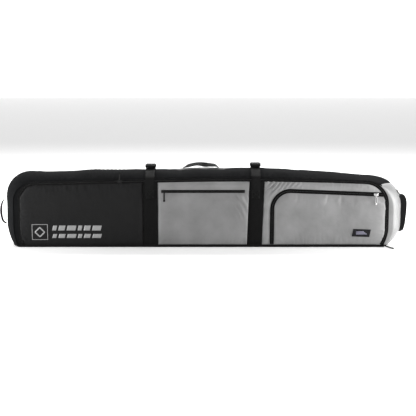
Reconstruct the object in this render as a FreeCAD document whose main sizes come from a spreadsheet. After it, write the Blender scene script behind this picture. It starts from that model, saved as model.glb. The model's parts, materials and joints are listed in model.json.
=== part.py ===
import FreeCAD, Part
import Sketcher
import math
import os

# Padded snowboard bag, standing on its long narrow edge.
# +X runs along the bag, the front faces -Y and +Z is up.
# The origin is the middle of the flat base.

DIMENSIONS = {
    # overall form
    "half_depth": 85, "end_seam": 789, "seam_height": 289, "dome_rise": 36, "dome_radius": 118.3,
    "crown_x": 142, "crown_radius": 13000, "top_slope": 1.5, "left_corner": 80, "right_corner": 120,
    "base_thickness": 9.7, "seat": 10, "hinge_gap": 0.3,
    # skins, pads and linings
    "skin": 5, "back_inset": 7.6, "foam": 5, "foam_inset": 13, "lining": 1, "layer_gap": 0.3, "liner": 1,
    "lining_overlap": 3, "layer_lift": 3, "back_layer_lift": 7, "base_foam_inset": 17,
    # main zip: its centre line on the front, and its tapes and coil
    "zip_left": 761, "zip_right": 759, "zip_height": 283, "zip_left_corner": 62, "zip_right_corner": 92,
    "tape_width": 8, "tape": 1.2, "coil_height": 1.5, "coil_width": 2.5, "zip_gap": 0.3,
    # front panels
    "band_left": -252, "band_right": 190, "band_width": 62, "silver_top": 255, "left_corner_end": -700,
    # webbing and buckles
    "webbing": 38, "webbing_thickness": 2.2, "strap_lift": 4.5, "strap_stand": 3.2, "strap_tip": 190,
    "strap_point": 16, "strap_end": 30, "strap_left_x": -222, "strap_left_top": 319.9,
    "strap_right_x": 216, "strap_right_top": 324.8,
    "buckle_width": 44, "buckle_length": 42, "buckle_height": 10, "buckle_face": 12, "buckle_wall": 1.7,
    "buckle_corner": 3, "buckle_cheek": 4, "window_start": 5, "slot_width": 4, "slot_inset": 3,
    "male_length": 17, "prong_length": 15, "prong_height": 3, "prong_low": 2.2, "prong_width": 5,
    "prong_reach": 16.5, "tongue_width": 7, "tongue_setback": 2,
    # handles
    "top_handle_x": -12, "top_handle_z": 324.1, "top_handle_tilt": 0.7, "handle_rise": 19,
    "handle_foot": 8.5, "grip_width": 26,
    "top_grip_length": 150, "patch": 1, "patch_width": 48, "top_patch_length": 205,
    "left_loop_z": 143, "left_loop_rise": 29, "left_loop_length": 112,
    "left_patch_low": 80, "left_patch_high": 200, "right_patch_low": 45, "right_patch_high": 160,
    "right_foot_low": 56, "right_bend_low": 84, "right_bend_high": 190, "right_foot_high": 234,
    "right_grip_reach": 33, "right_grip_inner": 4, "right_grip_band": 7, "right_grip_tuck": 17,
    "right_grip_y": 18,
    # pocket zips
    "pocket_tape": 12, "pocket_tape_thickness": 1.2, "pocket_coil": 4, "pocket_coil_height": 1.5,
    "middle_zip_x": -1.5, "middle_zip_length": 347, "middle_zip_z": 234, "middle_pocket_depth": 190,
    "liner_margin": 8,
    "arch_x": 285, "arch_bottom": 14, "arch_top": 236, "arch_radius": 75, "arch_slope": 2.3,
    "arch_end": 734, "right_liner_drop": 30,
    # sliders and pulls
    "slider_length": 20, "slider_width": 11, "slider_height": 4, "bridge_length": 12,
    "bridge_height": 4.6, "bridge_width": 2.4, "bridge_wire": 1.2, "slider_gap": 0.3,
    "main_slider_x": -347, "middle_slider_x": -163, "right_slider_x": 713, "main_pull_lean": 155,
    "loop_length": 42, "loop_width": 5, "loop_thickness": 2.4, "loop_eye": 2.3, "loop_ring": 1.5,
    "tail_x": 766, "tail_y": 88.5, "tail_z": 10.6, "tail_width": 3.2, "tail_length": 46,
    "tail_droop": 12, "tail_turn": 33,
    # sewn label, and the printed badge with its two bars
    "label_x": 616, "label_z": 50, "label_length": 72, "label_height": 30, "label_thickness": 0.8,
    "label_tilt": 4,
    "print_thickness": 0.3, "badge_x": -712, "badge_z": 32, "badge_size": 66, "bar_x": -626,
    "upper_bar_z": 72, "upper_bar_length": 196, "upper_bar_height": 18,
    "lower_bar_z": 42, "lower_bar_length": 136, "lower_bar_height": 14,
}

# A distance beyond the bag on every side, for the regions that cut it up.
FAR = 1000

doc = FreeCAD.newDocument("snowboard_bag")
sheet = doc.addObject("Spreadsheet::Sheet", "Dims")
for row, (alias, number) in enumerate(DIMENSIONS.items(), start=1):
    sheet.set(f"A{row}", alias)
    sheet.set(f"B{row}", str(number))
    sheet.setAlias(f"B{row}", alias)
doc.recompute()

PARTS = []


class Size:
    """A dimension that carries its number and the spreadsheet expression that drives it."""

    def __init__(self, number, text):
        self.number = float(number)
        self.text = text

    def __add__(self, other):
        other = as_size(other)
        return Size(self.number + other.number, f"({self.text} + {other.text})")

    def __sub__(self, other):
        other = as_size(other)
        return Size(self.number - other.number, f"({self.text} - {other.text})")

    def __mul__(self, factor):
        return Size(self.number * factor, f"({self.text} * {factor})")

    def __truediv__(self, divisor):
        return Size(self.number / divisor, f"({self.text} / {divisor})")

    def __neg__(self):
        return Size(-self.number, f"(0 - {self.text})")


def as_size(value):
    return value if isinstance(value, Size) else Size(value, str(value))


def dim(alias):
    return Size(DIMENSIONS[alias], f"Dims.{alias}")


ZERO = as_size(0)


def keep(item, label):
    """Mark an object as one sub-part of the bag, under its own name."""
    item.Label = label
    PARTS.append(item)
    return item


# ---- sketch helpers -------------------------------------------------------------------

def new_body(name):
    return doc.addObject("PartDesign::Body", name)


def new_sketch(body, name, role, offset=ZERO):
    sketch = body.newObject("Sketcher::SketchObject", name)
    plane = [item for item in body.Origin.OriginFeatures if item.Role == role][0]
    sketch.AttachmentSupport = [(plane, "")]
    sketch.MapMode = "FlatFace"
    sketch.AttachmentOffset = FreeCAD.Placement(FreeCAD.Vector(0, 0, offset.number), FreeCAD.Rotation())
    sketch.setExpression("AttachmentOffset.Base.z", offset.text)
    return sketch


def bind(sketch, constraint, size):
    sketch.setExpression(f"Constraints[{constraint}]", size.text)


def pin(sketch, geometry, end, across, up):
    """Hold one point of a sketch at a driven position from the sketch origin."""
    first = sketch.addConstraint(Sketcher.Constraint("DistanceX", -1, 1, geometry, end, across.number))
    bind(sketch, first, across)
    second = sketch.addConstraint(Sketcher.Constraint("DistanceY", -1, 1, geometry, end, up.number))
    bind(sketch, second, up)


def vector(across, up):
    return FreeCAD.Vector(as_size(across).number, as_size(up).number, 0)


def polygon(sketch, corners):
    """A closed outline of straight lines through driven corners."""
    corners = [(as_size(across), as_size(up)) for across, up in corners]
    first = sketch.GeometryCount
    count = len(corners)
    for index in range(count):
        start, end = corners[index], corners[(index + 1) % count]
        sketch.addGeometry(Part.LineSegment(vector(*start), vector(*end)), False)
    for index in range(count):
        following = (index + 1) % count
        sketch.addConstraint(Sketcher.Constraint("Coincident", first + index, 2, first + following, 1))
        pin(sketch, first + index, 1, *corners[index])


def rectangle(sketch, left, right, low, high):
    polygon(sketch, [(left, low), (right, low), (right, high), (left, high)])


def circle(sketch, across, up, radius):
    ring = Part.Circle(vector(across, up), FreeCAD.Vector(0, 0, 1), radius.number)
    geometry = sketch.addGeometry(ring, False)
    held = sketch.addConstraint(Sketcher.Constraint("Radius", geometry, radius.number))
    bind(sketch, held, radius)
    pin(sketch, geometry, 3, as_size(across), as_size(up))


def feature(body, kind, name, sketch, length):
    item = body.newObject(kind, name)
    item.Profile = sketch
    item.Length = length.number
    item.setExpression("Length", length.text)
    sketch.Visibility = False
    return item


def pad(body, sketch, length):
    return feature(body, "PartDesign::Pad", f"{body.Name}_{sketch.Name}_pad", sketch, length)


def pocket(body, sketch, length, reverse=False):
    """Cut a recess, and make sure that it really takes material away."""
    doc.recompute()
    before = body.Shape.Volume
    item = feature(body, "PartDesign::Pocket", f"{body.Name}_{sketch.Name}_pocket", sketch, length)
    item.Reversed = reverse
    doc.recompute()
    if body.Shape.Volume > before - 1e-6:
        raise RuntimeError(f"{item.Name} cuts nothing")
    return item


def place(item, x=ZERO, y=ZERO, z=ZERO, axis=(0, 0, 1), angle=ZERO):
    x, y, z, angle = as_size(x), as_size(y), as_size(z), as_size(angle)
    rotation = FreeCAD.Rotation(FreeCAD.Vector(*axis), angle.number)
    item.Placement = FreeCAD.Placement(FreeCAD.Vector(x.number, y.number, z.number), rotation)
    item.setExpression("Placement.Base.x", x.text)
    item.setExpression("Placement.Base.y", y.text)
    item.setExpression("Placement.Base.z", z.text)
    item.setExpression("Placement.Rotation.Angle", angle.text)


# ---- solid helpers --------------------------------------------------------------------

def block(name, left, right, front, rear, low, high):
    """A plain box between driven planes."""
    left, right, front, rear, low, high = [as_size(v) for v in (left, right, front, rear, low, high)]
    item = doc.addObject("Part::Box", name)
    for prop, size in (("Length", right - left), ("Width", rear - front), ("Height", high - low)):
        setattr(item, prop, size.number)
        item.setExpression(prop, size.text)
    place(item, left, front, low)
    return item


def common(name, base, tool):
    item = doc.addObject("Part::Common", name)
    item.Base, item.Tool = base, tool
    return item


# ---- outline of the bag ---------------------------------------------------------------

HALF = dim("half_depth")
SEAM = dim("end_seam")
CROWN = dim("seam_height")
DOME = dim("dome_radius")
DOME_CENTRE = dim("dome_radius") - dim("dome_rise")


class Outline:
    """A front-view outline: upright ends, a sloping top, a crowned right half and two round corners."""

    def __init__(self, left, right, height, left_corner, right_corner):
        self.left, self.right, self.height = left, right, height
        self.left_corner, self.right_corner = left_corner, right_corner

    def grown(self, amount):
        amount = as_size(amount)
        return Outline(self.left + amount, self.right + amount, self.height + amount,
                       self.left_corner + amount, self.right_corner + amount)


SEAM_LINE = Outline(SEAM, SEAM, CROWN, dim("left_corner"), dim("right_corner"))
ZIP_LINE = Outline(dim("zip_left"), dim("zip_right"), dim("zip_height"), dim("zip_left_corner"),
                   dim("zip_right_corner"))


def bag_outline(sketch, outline, low, closed):
    """Draw an outline from its lower left end, over the top, to its lower right end."""
    centre_z = dim("seam_height") - dim("crown_radius")
    crown = outline.height - centre_z
    corner_left, corner_right = outline.left_corner, outline.right_corner
    slope = math.radians(DIMENSIONS["top_slope"])
    middle = vector(dim("crown_x"), centre_z)

    # The slope meets the crown where the crown's radius stands square to the slope.
    crown_start = middle + FreeCAD.Vector(-math.sin(slope), math.cos(slope), 0) * crown.number
    left_x = -outline.left.number + corner_left.number
    slope_run = (crown_start.x - left_x + corner_left.number * math.sin(slope)) / math.cos(slope)
    slope_start = crown_start - FreeCAD.Vector(math.cos(slope), math.sin(slope), 0) * slope_run
    left_z = slope_start.y - corner_left.number * math.cos(slope)
    left_centre = FreeCAD.Vector(left_x, left_z, 0)

    # The right corner touches the crown from inside and the right end line.
    right_x = outline.right.number - corner_right.number
    reach = crown.number - corner_right.number
    right_z = middle.y + math.sqrt(reach ** 2 - (right_x - middle.x) ** 2)
    right_centre = FreeCAD.Vector(right_x, right_z, 0)
    lean = math.atan2(right_z - middle.y, right_x - middle.x)
    up = FreeCAD.Vector(0, 0, 1)
    left, right = outline.left.number, outline.right.number

    left_end = sketch.addGeometry(Part.LineSegment(
        FreeCAD.Vector(-left, low.number, 0), FreeCAD.Vector(-left, left_z, 0)), False)
    left_arc = sketch.addGeometry(Part.ArcOfCircle(
        Part.Circle(left_centre, up, corner_left.number), math.pi / 2 + slope, math.pi), False)
    top_line = sketch.addGeometry(Part.LineSegment(slope_start, crown_start), False)
    crown_arc = sketch.addGeometry(Part.ArcOfCircle(
        Part.Circle(middle, up, crown.number), lean, math.pi / 2 + slope), False)
    right_arc = sketch.addGeometry(Part.ArcOfCircle(
        Part.Circle(right_centre, up, corner_right.number), 0, lean), False)
    right_end = sketch.addGeometry(Part.LineSegment(
        FreeCAD.Vector(right, right_z, 0), FreeCAD.Vector(right, low.number, 0)), False)

    joins = ((left_end, 2, left_arc, 2), (left_arc, 1, top_line, 1), (top_line, 2, crown_arc, 2),
             (crown_arc, 1, right_arc, 2), (right_arc, 1, right_end, 1))
    for join in joins:
        sketch.addConstraint(Sketcher.Constraint("Tangent", *join))
    sketch.addConstraint(Sketcher.Constraint("Vertical", left_end))
    sketch.addConstraint(Sketcher.Constraint("Vertical", right_end))
    for arc, radius in ((left_arc, corner_left), (crown_arc, crown), (right_arc, corner_right)):
        held = sketch.addConstraint(Sketcher.Constraint("Radius", arc, radius.number))
        bind(sketch, held, radius)
    tilt = sketch.addConstraint(Sketcher.Constraint("Angle", top_line, slope))
    sketch.setExpression(f"Constraints[{tilt}]", "Dims.top_slope * 1deg")
    pin(sketch, crown_arc, 3, dim("crown_x"), centre_z)
    pin(sketch, left_end, 1, -outline.left, low)
    pin(sketch, right_end, 2, outline.right, low)
    if closed:
        bottom = sketch.addGeometry(Part.LineSegment(
            FreeCAD.Vector(right, low.number, 0), FreeCAD.Vector(-left, low.number, 0)), False)
        sketch.addConstraint(Sketcher.Constraint("Coincident", right_end, 2, bottom, 1))
        sketch.addConstraint(Sketcher.Constraint("Coincident", bottom, 2, left_end, 1))


def arc_band(sketch, facing, centre, inner, outer, start, end):
    """A strip of a ring between two distances along Y, bulging left, right or up."""
    inner, outer, start, end = [as_size(v) for v in (inner, outer, start, end)]
    centre = as_size(centre)

    def angle(radius, along):
        turn = math.asin(along / radius)
        return {"up": math.pi / 2 - turn, "left": math.pi - turn, "right": turn}[facing]

    middle = vector(ZERO, centre) if facing == "up" else vector(centre, ZERO)
    distance = "DistanceX" if facing == "up" else "DistanceY"
    rings = []
    for radius in (outer, inner):
        angles = sorted((angle(radius.number, start.number), angle(radius.number, end.number)))
        ring = sketch.addGeometry(Part.ArcOfCircle(
            Part.Circle(middle, FreeCAD.Vector(0, 0, 1), radius.number), *angles), False)
        rings.append(ring)
        held = sketch.addConstraint(Sketcher.Constraint("Radius", ring, radius.number))
        bind(sketch, held, radius)
        pin(sketch, ring, 3, *((ZERO, centre) if facing == "up" else (centre, ZERO)))
    # On a strip that faces right the arc starts at the lower end, elsewhere at the far one.
    ends = ((1, start), (2, end)) if facing == "right" else ((1, end), (2, start))
    for point, along in ends:
        line = sketch.addGeometry(Part.LineSegment(
            sketch.getPoint(rings[0], point), sketch.getPoint(rings[1], point)), False)
        sketch.addConstraint(Sketcher.Constraint("Coincident", rings[0], point, line, 1))
        sketch.addConstraint(Sketcher.Constraint("Coincident", rings[1], point, line, 2))
        for line_end in (1, 2):
            held = sketch.addConstraint(Sketcher.Constraint(distance, -1, 1, line, line_end, along.number))
            bind(sketch, held, along)


def seam_run(name, inner, outer, start, end, low):
    """A strip of the gusset that follows the whole seam line, from one lower end to the other."""
    body = new_body(name)
    spine = new_sketch(body, f"{name}_path", "XZ_Plane")
    bag_outline(spine, SEAM_LINE, low, closed=False)
    section = new_sketch(body, f"{name}_section", "XY_Plane", low)
    arc_band(section, "left", DOME_CENTRE - SEAM, inner, outer, start, end)
    doc.recompute()
    pipe = body.newObject("PartDesign::AdditivePipe", f"{name}_pipe")
    pipe.Profile = section
    pipe.Spine = (spine, [f"Edge{index + 1}" for index in range(6)])
    spine.Visibility = False
    section.Visibility = False
    return body


# ---- gussets, main zip and base -------------------------------------------------------

def plate(name, outline, low, rear_face, thickness):
    """A flat sheet in an outline of the bag; rear_face is its face nearest the back of the bag."""
    body = new_body(name)
    shape = new_sketch(body, f"{name}_outline", "XZ_Plane", -rear_face)
    bag_outline(shape, outline, low, closed=True)
    pad(body, shape, thickness)
    return body


def cut(name, base, tool):
    item = doc.addObject("Part::Cut", name)
    item.Base, item.Tool = base, tool
    return item


def zip_strip(name, inner, outer, low, rear_face, thickness):
    """A flat strip that runs along the zip between two outlines, open at the bottom."""
    whole = plate(f"{name}_outer", outer, low, rear_face, thickness)
    inside = plate(f"{name}_inner", inner, low - 1, rear_face + 1, thickness + 2)
    return cut(name, whole, inside)


def make_gussets():
    """The gusset runs round the ends and the top; its front lip lies flat outside the zip's centre line."""
    low = dim("seat")
    gap = dim("zip_gap")
    dome = seam_run("gusset_dome", DOME - dim("skin"), DOME, -HALF, HALF, low)
    lip = plate("gusset_lip", SEAM_LINE, low, -HALF + dim("skin"), dim("skin"))
    solid = doc.addObject("Part::Fuse", "gusset_solid")
    solid.Base, solid.Tool = dome, lip
    mouth = plate("gusset_mouth", ZIP_LINE.grown(gap), low - 1, -HALF + dim("skin") * 3, dim("skin") * 4)
    whole = cut("gusset", solid, mouth)
    left_cut = dim("left_corner_end")
    left = block("left_region", -FAR, left_cut, -FAR, FAR, 0, FAR)
    keep(common("left_end", whole, left), "left_end_gusset")
    silver = block("silver_region", 0, FAR, -FAR, FAR, 0, dim("silver_top"))
    keep(common("right_end", whole, silver), "right_end_panel")
    upper_left = block("upper_left_region", left_cut, 0, -FAR, FAR, 0, FAR)
    upper_right = block("upper_right_region", 0, FAR, -FAR, FAR, dim("silver_top"), FAR)
    upper = doc.addObject("Part::Fuse", "upper_region")
    upper.Base, upper.Tool = upper_left, upper_right
    keep(common("top_gusset", whole, upper), "top_gusset")


def make_main_zip():
    """Two tapes and two halves of the coil, one of each on either side of the zip's centre line."""
    gap, width, coil = dim("zip_gap"), dim("tape_width"), dim("coil_width")
    face = -HALF
    for side, low, near, tape_edge, coil_edge in (
            ("cover", dim("seat") + dim("hinge_gap"), -gap, -width, -gap - coil),
            ("body", dim("seat"), gap, width, gap + coil)):
        for piece, edge, rear, thickness in (("tape", tape_edge, face, dim("tape")),
                                             ("coil", coil_edge, face - dim("tape"), dim("coil_height"))):
            inner, outer = (edge, near) if side == "cover" else (near, edge)
            strip = zip_strip(f"{piece}_{side}", ZIP_LINE.grown(inner), ZIP_LINE.grown(outer), low, rear,
                              thickness)
            keep(strip, f"main_zip_{piece}_{side}")


def make_base():
    body = new_body("base_gusset")
    plan = new_sketch(body, "plan", "XY_Plane")
    turn = math.asin(DIMENSIONS["half_depth"] / DIMENSIONS["dome_radius"])
    centre = SEAM - DOME_CENTRE
    for side, first in ((1, -turn), (-1, math.pi - turn)):
        middle = vector(centre * side, ZERO)
        arc = plan.addGeometry(Part.ArcOfCircle(
            Part.Circle(middle, FreeCAD.Vector(0, 0, 1), DOME.number), first, first + 2 * turn), False)
        held = plan.addConstraint(Sketcher.Constraint("Radius", arc, DOME.number))
        bind(plan, held, DOME)
        pin(plan, arc, 3, centre * side, ZERO)
    for near, far_end, offset in (((0, 2), (1, 1), HALF), ((1, 2), (0, 1), -HALF)):
        line = plan.addGeometry(Part.LineSegment(plan.getPoint(*near), plan.getPoint(*far_end)), False)
        plan.addConstraint(Sketcher.Constraint("Coincident", line, 1, *near))
        plan.addConstraint(Sketcher.Constraint("Coincident", line, 2, *far_end))
        for point in (1, 2):
            held = plan.addConstraint(Sketcher.Constraint("DistanceY", -1, 1, line, point, offset.number))
            bind(plan, held, offset)
    pad(body, plan, dim("base_thickness"))
    doc.recompute()
    base = body.Tip
    edges = enumerate(base.Shape.Edges, start=1)
    bottom = [f"Edge{index}" for index, edge in edges if edge.BoundBox.ZMax < 0.01]
    bevel = body.newObject("PartDesign::Chamfer", "base_bevel")
    bevel.Base = (base, bottom)
    bevel.Size = 4
    bevel.setExpression("Size", "Dims.base_thickness * 0.4")
    keep(body, "base_gusset")
    pad_low = dim("seat") + dim("layer_gap")
    rear = HALF - dim("skin") - dim("foam") - dim("lining") - dim("layer_gap") * 4
    reach = dim("zip_right") - dim("foam_inset")
    foam = block("base_foam", -reach, reach, -(HALF - dim("base_foam_inset")), rear, pad_low,
                 pad_low + dim("foam"))
    keep(foam, "base_foam_pad")


# ---- panels, foam and linings ---------------------------------------------------------

def make_panels():
    low = dim("seat") + dim("hinge_gap")
    cover_line = ZIP_LINE.grown(-dim("zip_gap"))
    front = plate("front_face", cover_line, low, -HALF + dim("skin"), dim("skin"))
    left_start, right_start = dim("band_left"), dim("band_right")
    width = dim("band_width")
    stretches = (
        ("left_front_panel", as_size(-FAR), left_start),
        ("left_divider_band", left_start, left_start + width),
        ("middle_front_panel", left_start + width, right_start),
        ("right_divider_band", right_start, right_start + width),
        ("right_front_panel", right_start + width, as_size(FAR)),
    )
    for label, start, end in stretches:
        region = block(f"{label}_region", start, end, -FAR, FAR, 0, FAR)
        keep(common(f"{label}_cut", front, region), label)
    back_line = SEAM_LINE.grown(-dim("back_inset"))
    keep(plate("back_panel", back_line, dim("seat"), HALF, dim("skin")), "back_panel")

    # Layers follow each other inwards with a hair of air between them.
    foam_line = ZIP_LINE.grown(-dim("foam_inset"))
    lining_line = ZIP_LINE.grown(-dim("foam_inset") + dim("lining_overlap"))
    gap = dim("layer_gap")
    layer_low = low + dim("layer_lift")
    back_low = low + dim("back_layer_lift")
    liner_face = HALF - dim("skin") - gap
    foam_face = liner_face - dim("liner") - gap
    lining_face = foam_face - dim("foam") - gap
    keep(plate("front_foam", foam_line, layer_low, -foam_face + dim("foam"), dim("foam")), "front_foam_pad")
    keep(plate("front_lining", lining_line, layer_low, -lining_face + dim("lining"), dim("lining")),
         "front_lining")
    rear_foam = HALF - dim("skin") - gap
    rear_lining = rear_foam - dim("foam") - gap
    keep(plate("back_foam", foam_line, back_low, rear_foam, dim("foam")), "back_foam_pad")
    keep(plate("back_lining", lining_line, back_low, rear_lining, dim("lining")), "back_lining")
    margin = dim("liner_margin")
    liner_rear = -liner_face + dim("liner")
    middle_liner = block("middle_liner", left_start + width + margin, right_start - margin, -liner_face,
                         liner_rear, dim("middle_zip_z") - dim("middle_pocket_depth"),
                         dim("middle_zip_z") + margin)
    keep(middle_liner, "middle_pocket_liner")
    right_liner = block("right_liner", dim("arch_x") - margin, dim("arch_end") + margin, -liner_face,
                        liner_rear, low + margin, dim("arch_top") - dim("right_liner_drop"))
    keep(right_liner, "right_pocket_liner")


# ---- straps and buckles ---------------------------------------------------------------

def strap_half(name, x, top, turn):
    """Webbing from its pointed sewn end on the face, over the edge, to the buckle on top."""
    body = new_body(name)
    centre = top - DOME
    inner = DOME + dim("strap_lift")
    outer = inner + dim("webbing_thickness")
    face_in = HALF + dim("strap_stand")
    face_out = face_in + dim("webbing_thickness")
    tip, end = dim("strap_tip"), dim("strap_end")
    half_width = dim("webbing") / 2
    side = new_sketch(body, f"{name}_side", "YZ_Plane", -half_width)

    def height(radius, along):
        return centre.number + math.sqrt(radius.number ** 2 - along.number ** 2)

    def turn_at(radius, along):
        return math.pi / 2 + math.asin(along.number / radius.number)

    middle = vector(ZERO, centre)
    up = FreeCAD.Vector(0, 0, 1)
    rings = []
    for radius, face in ((outer, face_out), (inner, face_in)):
        ring = side.addGeometry(Part.ArcOfCircle(
            Part.Circle(middle, up, radius.number), turn_at(radius, end), turn_at(radius, face)), False)
        rings.append(ring)
        held = side.addConstraint(Sketcher.Constraint("Radius", ring, radius.number))
        bind(side, held, radius)
        pin(side, ring, 3, ZERO, centre)
        for point, across in ((1, -end), (2, -face)):
            held = side.addConstraint(Sketcher.Constraint("DistanceX", -1, 1, ring, point, across.number))
            bind(side, held, across)
    low_out, low_in = vector(-face_out, tip), vector(-face_in, tip)
    high_out = FreeCAD.Vector(-face_out.number, height(outer, face_out), 0)
    high_in = FreeCAD.Vector(-face_in.number, height(inner, face_in), 0)
    outside = side.addGeometry(Part.LineSegment(high_out, low_out), False)
    foot = side.addGeometry(Part.LineSegment(low_out, low_in), False)
    inside = side.addGeometry(Part.LineSegment(low_in, high_in), False)
    cap = side.addGeometry(Part.LineSegment(side.getPoint(rings[0], 1), side.getPoint(rings[1], 1)), False)
    joins = ((rings[0], 2, outside, 1), (outside, 2, foot, 1), (foot, 2, inside, 1), (inside, 2, rings[1], 2),
             (rings[0], 1, cap, 1), (rings[1], 1, cap, 2))
    for join in joins:
        side.addConstraint(Sketcher.Constraint("Coincident", *join))
    pin(side, foot, 1, -face_out, tip)
    pin(side, foot, 2, -face_in, tip)
    pad(body, side, dim("webbing"))

    # The lower end is cut to a point.
    point_height = dim("strap_point")
    for label, sign in (("left", -1), ("right", 1)):
        trim = new_sketch(body, f"{name}_{label}_point", "XZ_Plane", HALF - 5)
        edge = half_width * sign
        polygon(trim, [(ZERO, tip - 1), (edge + sign, tip - 1), (edge + sign, tip + point_height),
                       (edge, tip + point_height)])
        pocket(body, trim, as_size(20), reverse=True)
    place(body, x, ZERO, ZERO, angle=turn)
    return body


def buckle_female(name, x, top):
    body = new_body(name)
    half = dim("buckle_width") / 2
    plan = new_sketch(body, f"{name}_plan", "XY_Plane")
    length, height = dim("buckle_length"), dim("buckle_height")
    rectangle(plan, -half, half, ZERO, length)
    pad(body, plan, height)
    round_uprights(body)
    wall, cheek = dim("buckle_wall"), dim("buckle_cheek")
    mouth = new_sketch(body, f"{name}_mouth", "XZ_Plane")
    rectangle(mouth, -half + cheek, half - cheek, wall, height - wall)
    pocket(body, mouth, dim("prong_length") + 3)
    window = new_sketch(body, f"{name}_window", "YZ_Plane", -half)
    rectangle(window, dim("window_start"), dim("prong_length") - 1, wall + 1, height - wall - 1)
    pocket(body, window, dim("buckle_width"), reverse=True)
    inset = dim("slot_inset")
    slot = new_sketch(body, f"{name}_slot", "XY_Plane")
    rectangle(slot, -half + inset, half - inset, length - inset - dim("slot_width"), length - inset)
    pocket(body, slot, height, reverse=True)
    place(body, x, -dim("buckle_face") + dim("layer_gap"), top)
    return body


def buckle_male(name, x, top):
    body = new_body(name)
    half = dim("buckle_width") / 2 - 1
    length = dim("male_length")
    height = dim("buckle_height") - 1
    plan = new_sketch(body, f"{name}_plan", "XY_Plane")
    rectangle(plan, -half, half, -length, ZERO)
    pad(body, plan, height)
    round_uprights(body)
    prong, reach, thick = dim("prong_length"), dim("prong_reach"), dim("prong_width")
    tongue = dim("tongue_width") / 2
    arms = new_sketch(body, f"{name}_arms", "XY_Plane", dim("prong_low"))
    rectangle(arms, -reach, thick - reach, as_size(-1), prong)
    rectangle(arms, -tongue, tongue, as_size(-1), prong - dim("tongue_setback"))
    rectangle(arms, reach - thick, reach, as_size(-1), prong)
    pad(body, arms, dim("prong_height"))
    inset, wide = dim("buckle_cheek"), dim("slot_width")
    slot = new_sketch(body, f"{name}_slot", "XY_Plane")
    rectangle(slot, -half + inset, half - inset, inset - length, inset + wide - length)
    pocket(body, slot, height, reverse=True)
    place(body, x, -dim("buckle_face"), top)
    return body


def round_uprights(body):
    """Round the four upright corners of a moulding."""
    doc.recompute()
    base = body.Tip
    names = []
    for index, edge in enumerate(base.Shape.Edges, start=1):
        box = edge.BoundBox
        if box.XLength < 0.01 and box.YLength < 0.01:
            names.append(f"Edge{index}")
    rounding = body.newObject("PartDesign::Fillet", f"{body.Name}_rounding")
    rounding.Base = (base, names)
    rounding.Radius = DIMENSIONS["buckle_corner"]
    rounding.setExpression("Radius", "Dims.buckle_corner")


def make_straps():
    gap = dim("layer_gap")
    lift = dim("strap_lift") + dim("webbing_thickness") + gap
    for side in ("left", "right"):
        x, top = dim(f"strap_{side}_x"), dim(f"strap_{side}_top")
        keep(strap_half(f"{side}_strap_f", x, top, 0), f"{side}_strap_front")
        keep(strap_half(f"{side}_strap_r", x, top, 180), f"{side}_strap_rear")
        keep(buckle_female(f"{side}_female", x, top + lift), f"{side}_buckle_female")
        keep(buckle_male(f"{side}_male", x, top + lift + gap), f"{side}_buckle_male")


# ---- handles --------------------------------------------------------------------------

def grip(name, length, rise, foot):
    """A shallow arched grip of webbing, lying in the XZ plane with its feet towards -Z."""
    body = new_body(name)
    side = new_sketch(body, f"{name}_side", "XZ_Plane", -dim("grip_width") / 2)
    half = length / 2
    thick = dim("webbing_thickness")
    shoulder = half * 0.55
    polygon(side, [(-half, foot - thick), (-shoulder, rise - thick), (shoulder, rise - thick),
                   (half, foot - thick), (half, foot), (shoulder, rise), (-shoulder, rise), (-half, foot)])
    pad(body, side, dim("grip_width"))
    return body


def make_handles():
    patch = dim("patch")
    gap = dim("layer_gap")
    top = grip("top_grip", dim("top_grip_length"), dim("handle_rise"), dim("handle_foot"))
    place(top, dim("top_handle_x"), 0, dim("top_handle_z"), axis=(0, 1, 0), angle=-dim("top_handle_tilt"))
    keep(top, "top_handle")

    band = new_body("top_patch")
    section = new_sketch(band, "top_patch_section", "YZ_Plane", -dim("top_patch_length") / 2)
    half_patch = dim("patch_width") / 2
    arc_band(section, "up", -DOME, DOME + gap, DOME + gap + patch, -half_patch, half_patch)
    pad(band, section, dim("top_patch_length"))
    place(band, dim("top_handle_x"), 0, dim("top_handle_z"), axis=(0, 1, 0), angle=-dim("top_handle_tilt"))
    keep(band, "top_handle_patch")

    left = grip("left_grip", dim("left_loop_length"), dim("left_loop_rise"), dim("handle_foot"))
    reach = SEAM + dim("dome_rise")
    place(left, -reach, 0, dim("left_loop_z"), axis=(0, 1, 0), angle=-90)
    keep(left, "left_end_loop")

    for side, sign in (("left", -1), ("right", 1)):
        cover = new_body(f"{side}_patch")
        low, high = dim(f"{side}_patch_low"), dim(f"{side}_patch_high")
        section = new_sketch(cover, f"{side}_patch_section", "XY_Plane", low)
        arc_band(section, side, (SEAM - DOME_CENTRE) * sign, DOME + gap, DOME + gap + patch,
                 -half_patch, half_patch)
        pad(cover, section, high - low)
        keep(cover, f"{side}_handle_patch")

    # The right handle is twisted, so that its webbing faces the front; its upper foot follows the corner.
    right = new_body("right_grip")
    face = new_sketch(right, "right_grip_face", "XZ_Plane", dim("right_grip_y"))
    foot_low, bend_low = dim("right_foot_low"), dim("right_bend_low")
    bend_high, foot_high = dim("right_bend_high"), dim("right_foot_high")
    inner, outer, band = dim("right_grip_inner"), dim("right_grip_reach"), dim("right_grip_band")
    tucked = inner - dim("right_grip_tuck")
    polygon(face, [(inner, foot_low), (inner + band, foot_low), (outer, bend_low), (outer, bend_high),
                   (tucked + band, foot_high), (tucked, foot_high), (inner, bend_high)])
    pad(right, face, dim("webbing_thickness"))
    place(right, reach, 0, 0)
    keep(right, "right_end_handle")


# ---- pocket zips ----------------------------------------------------------------------

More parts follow.
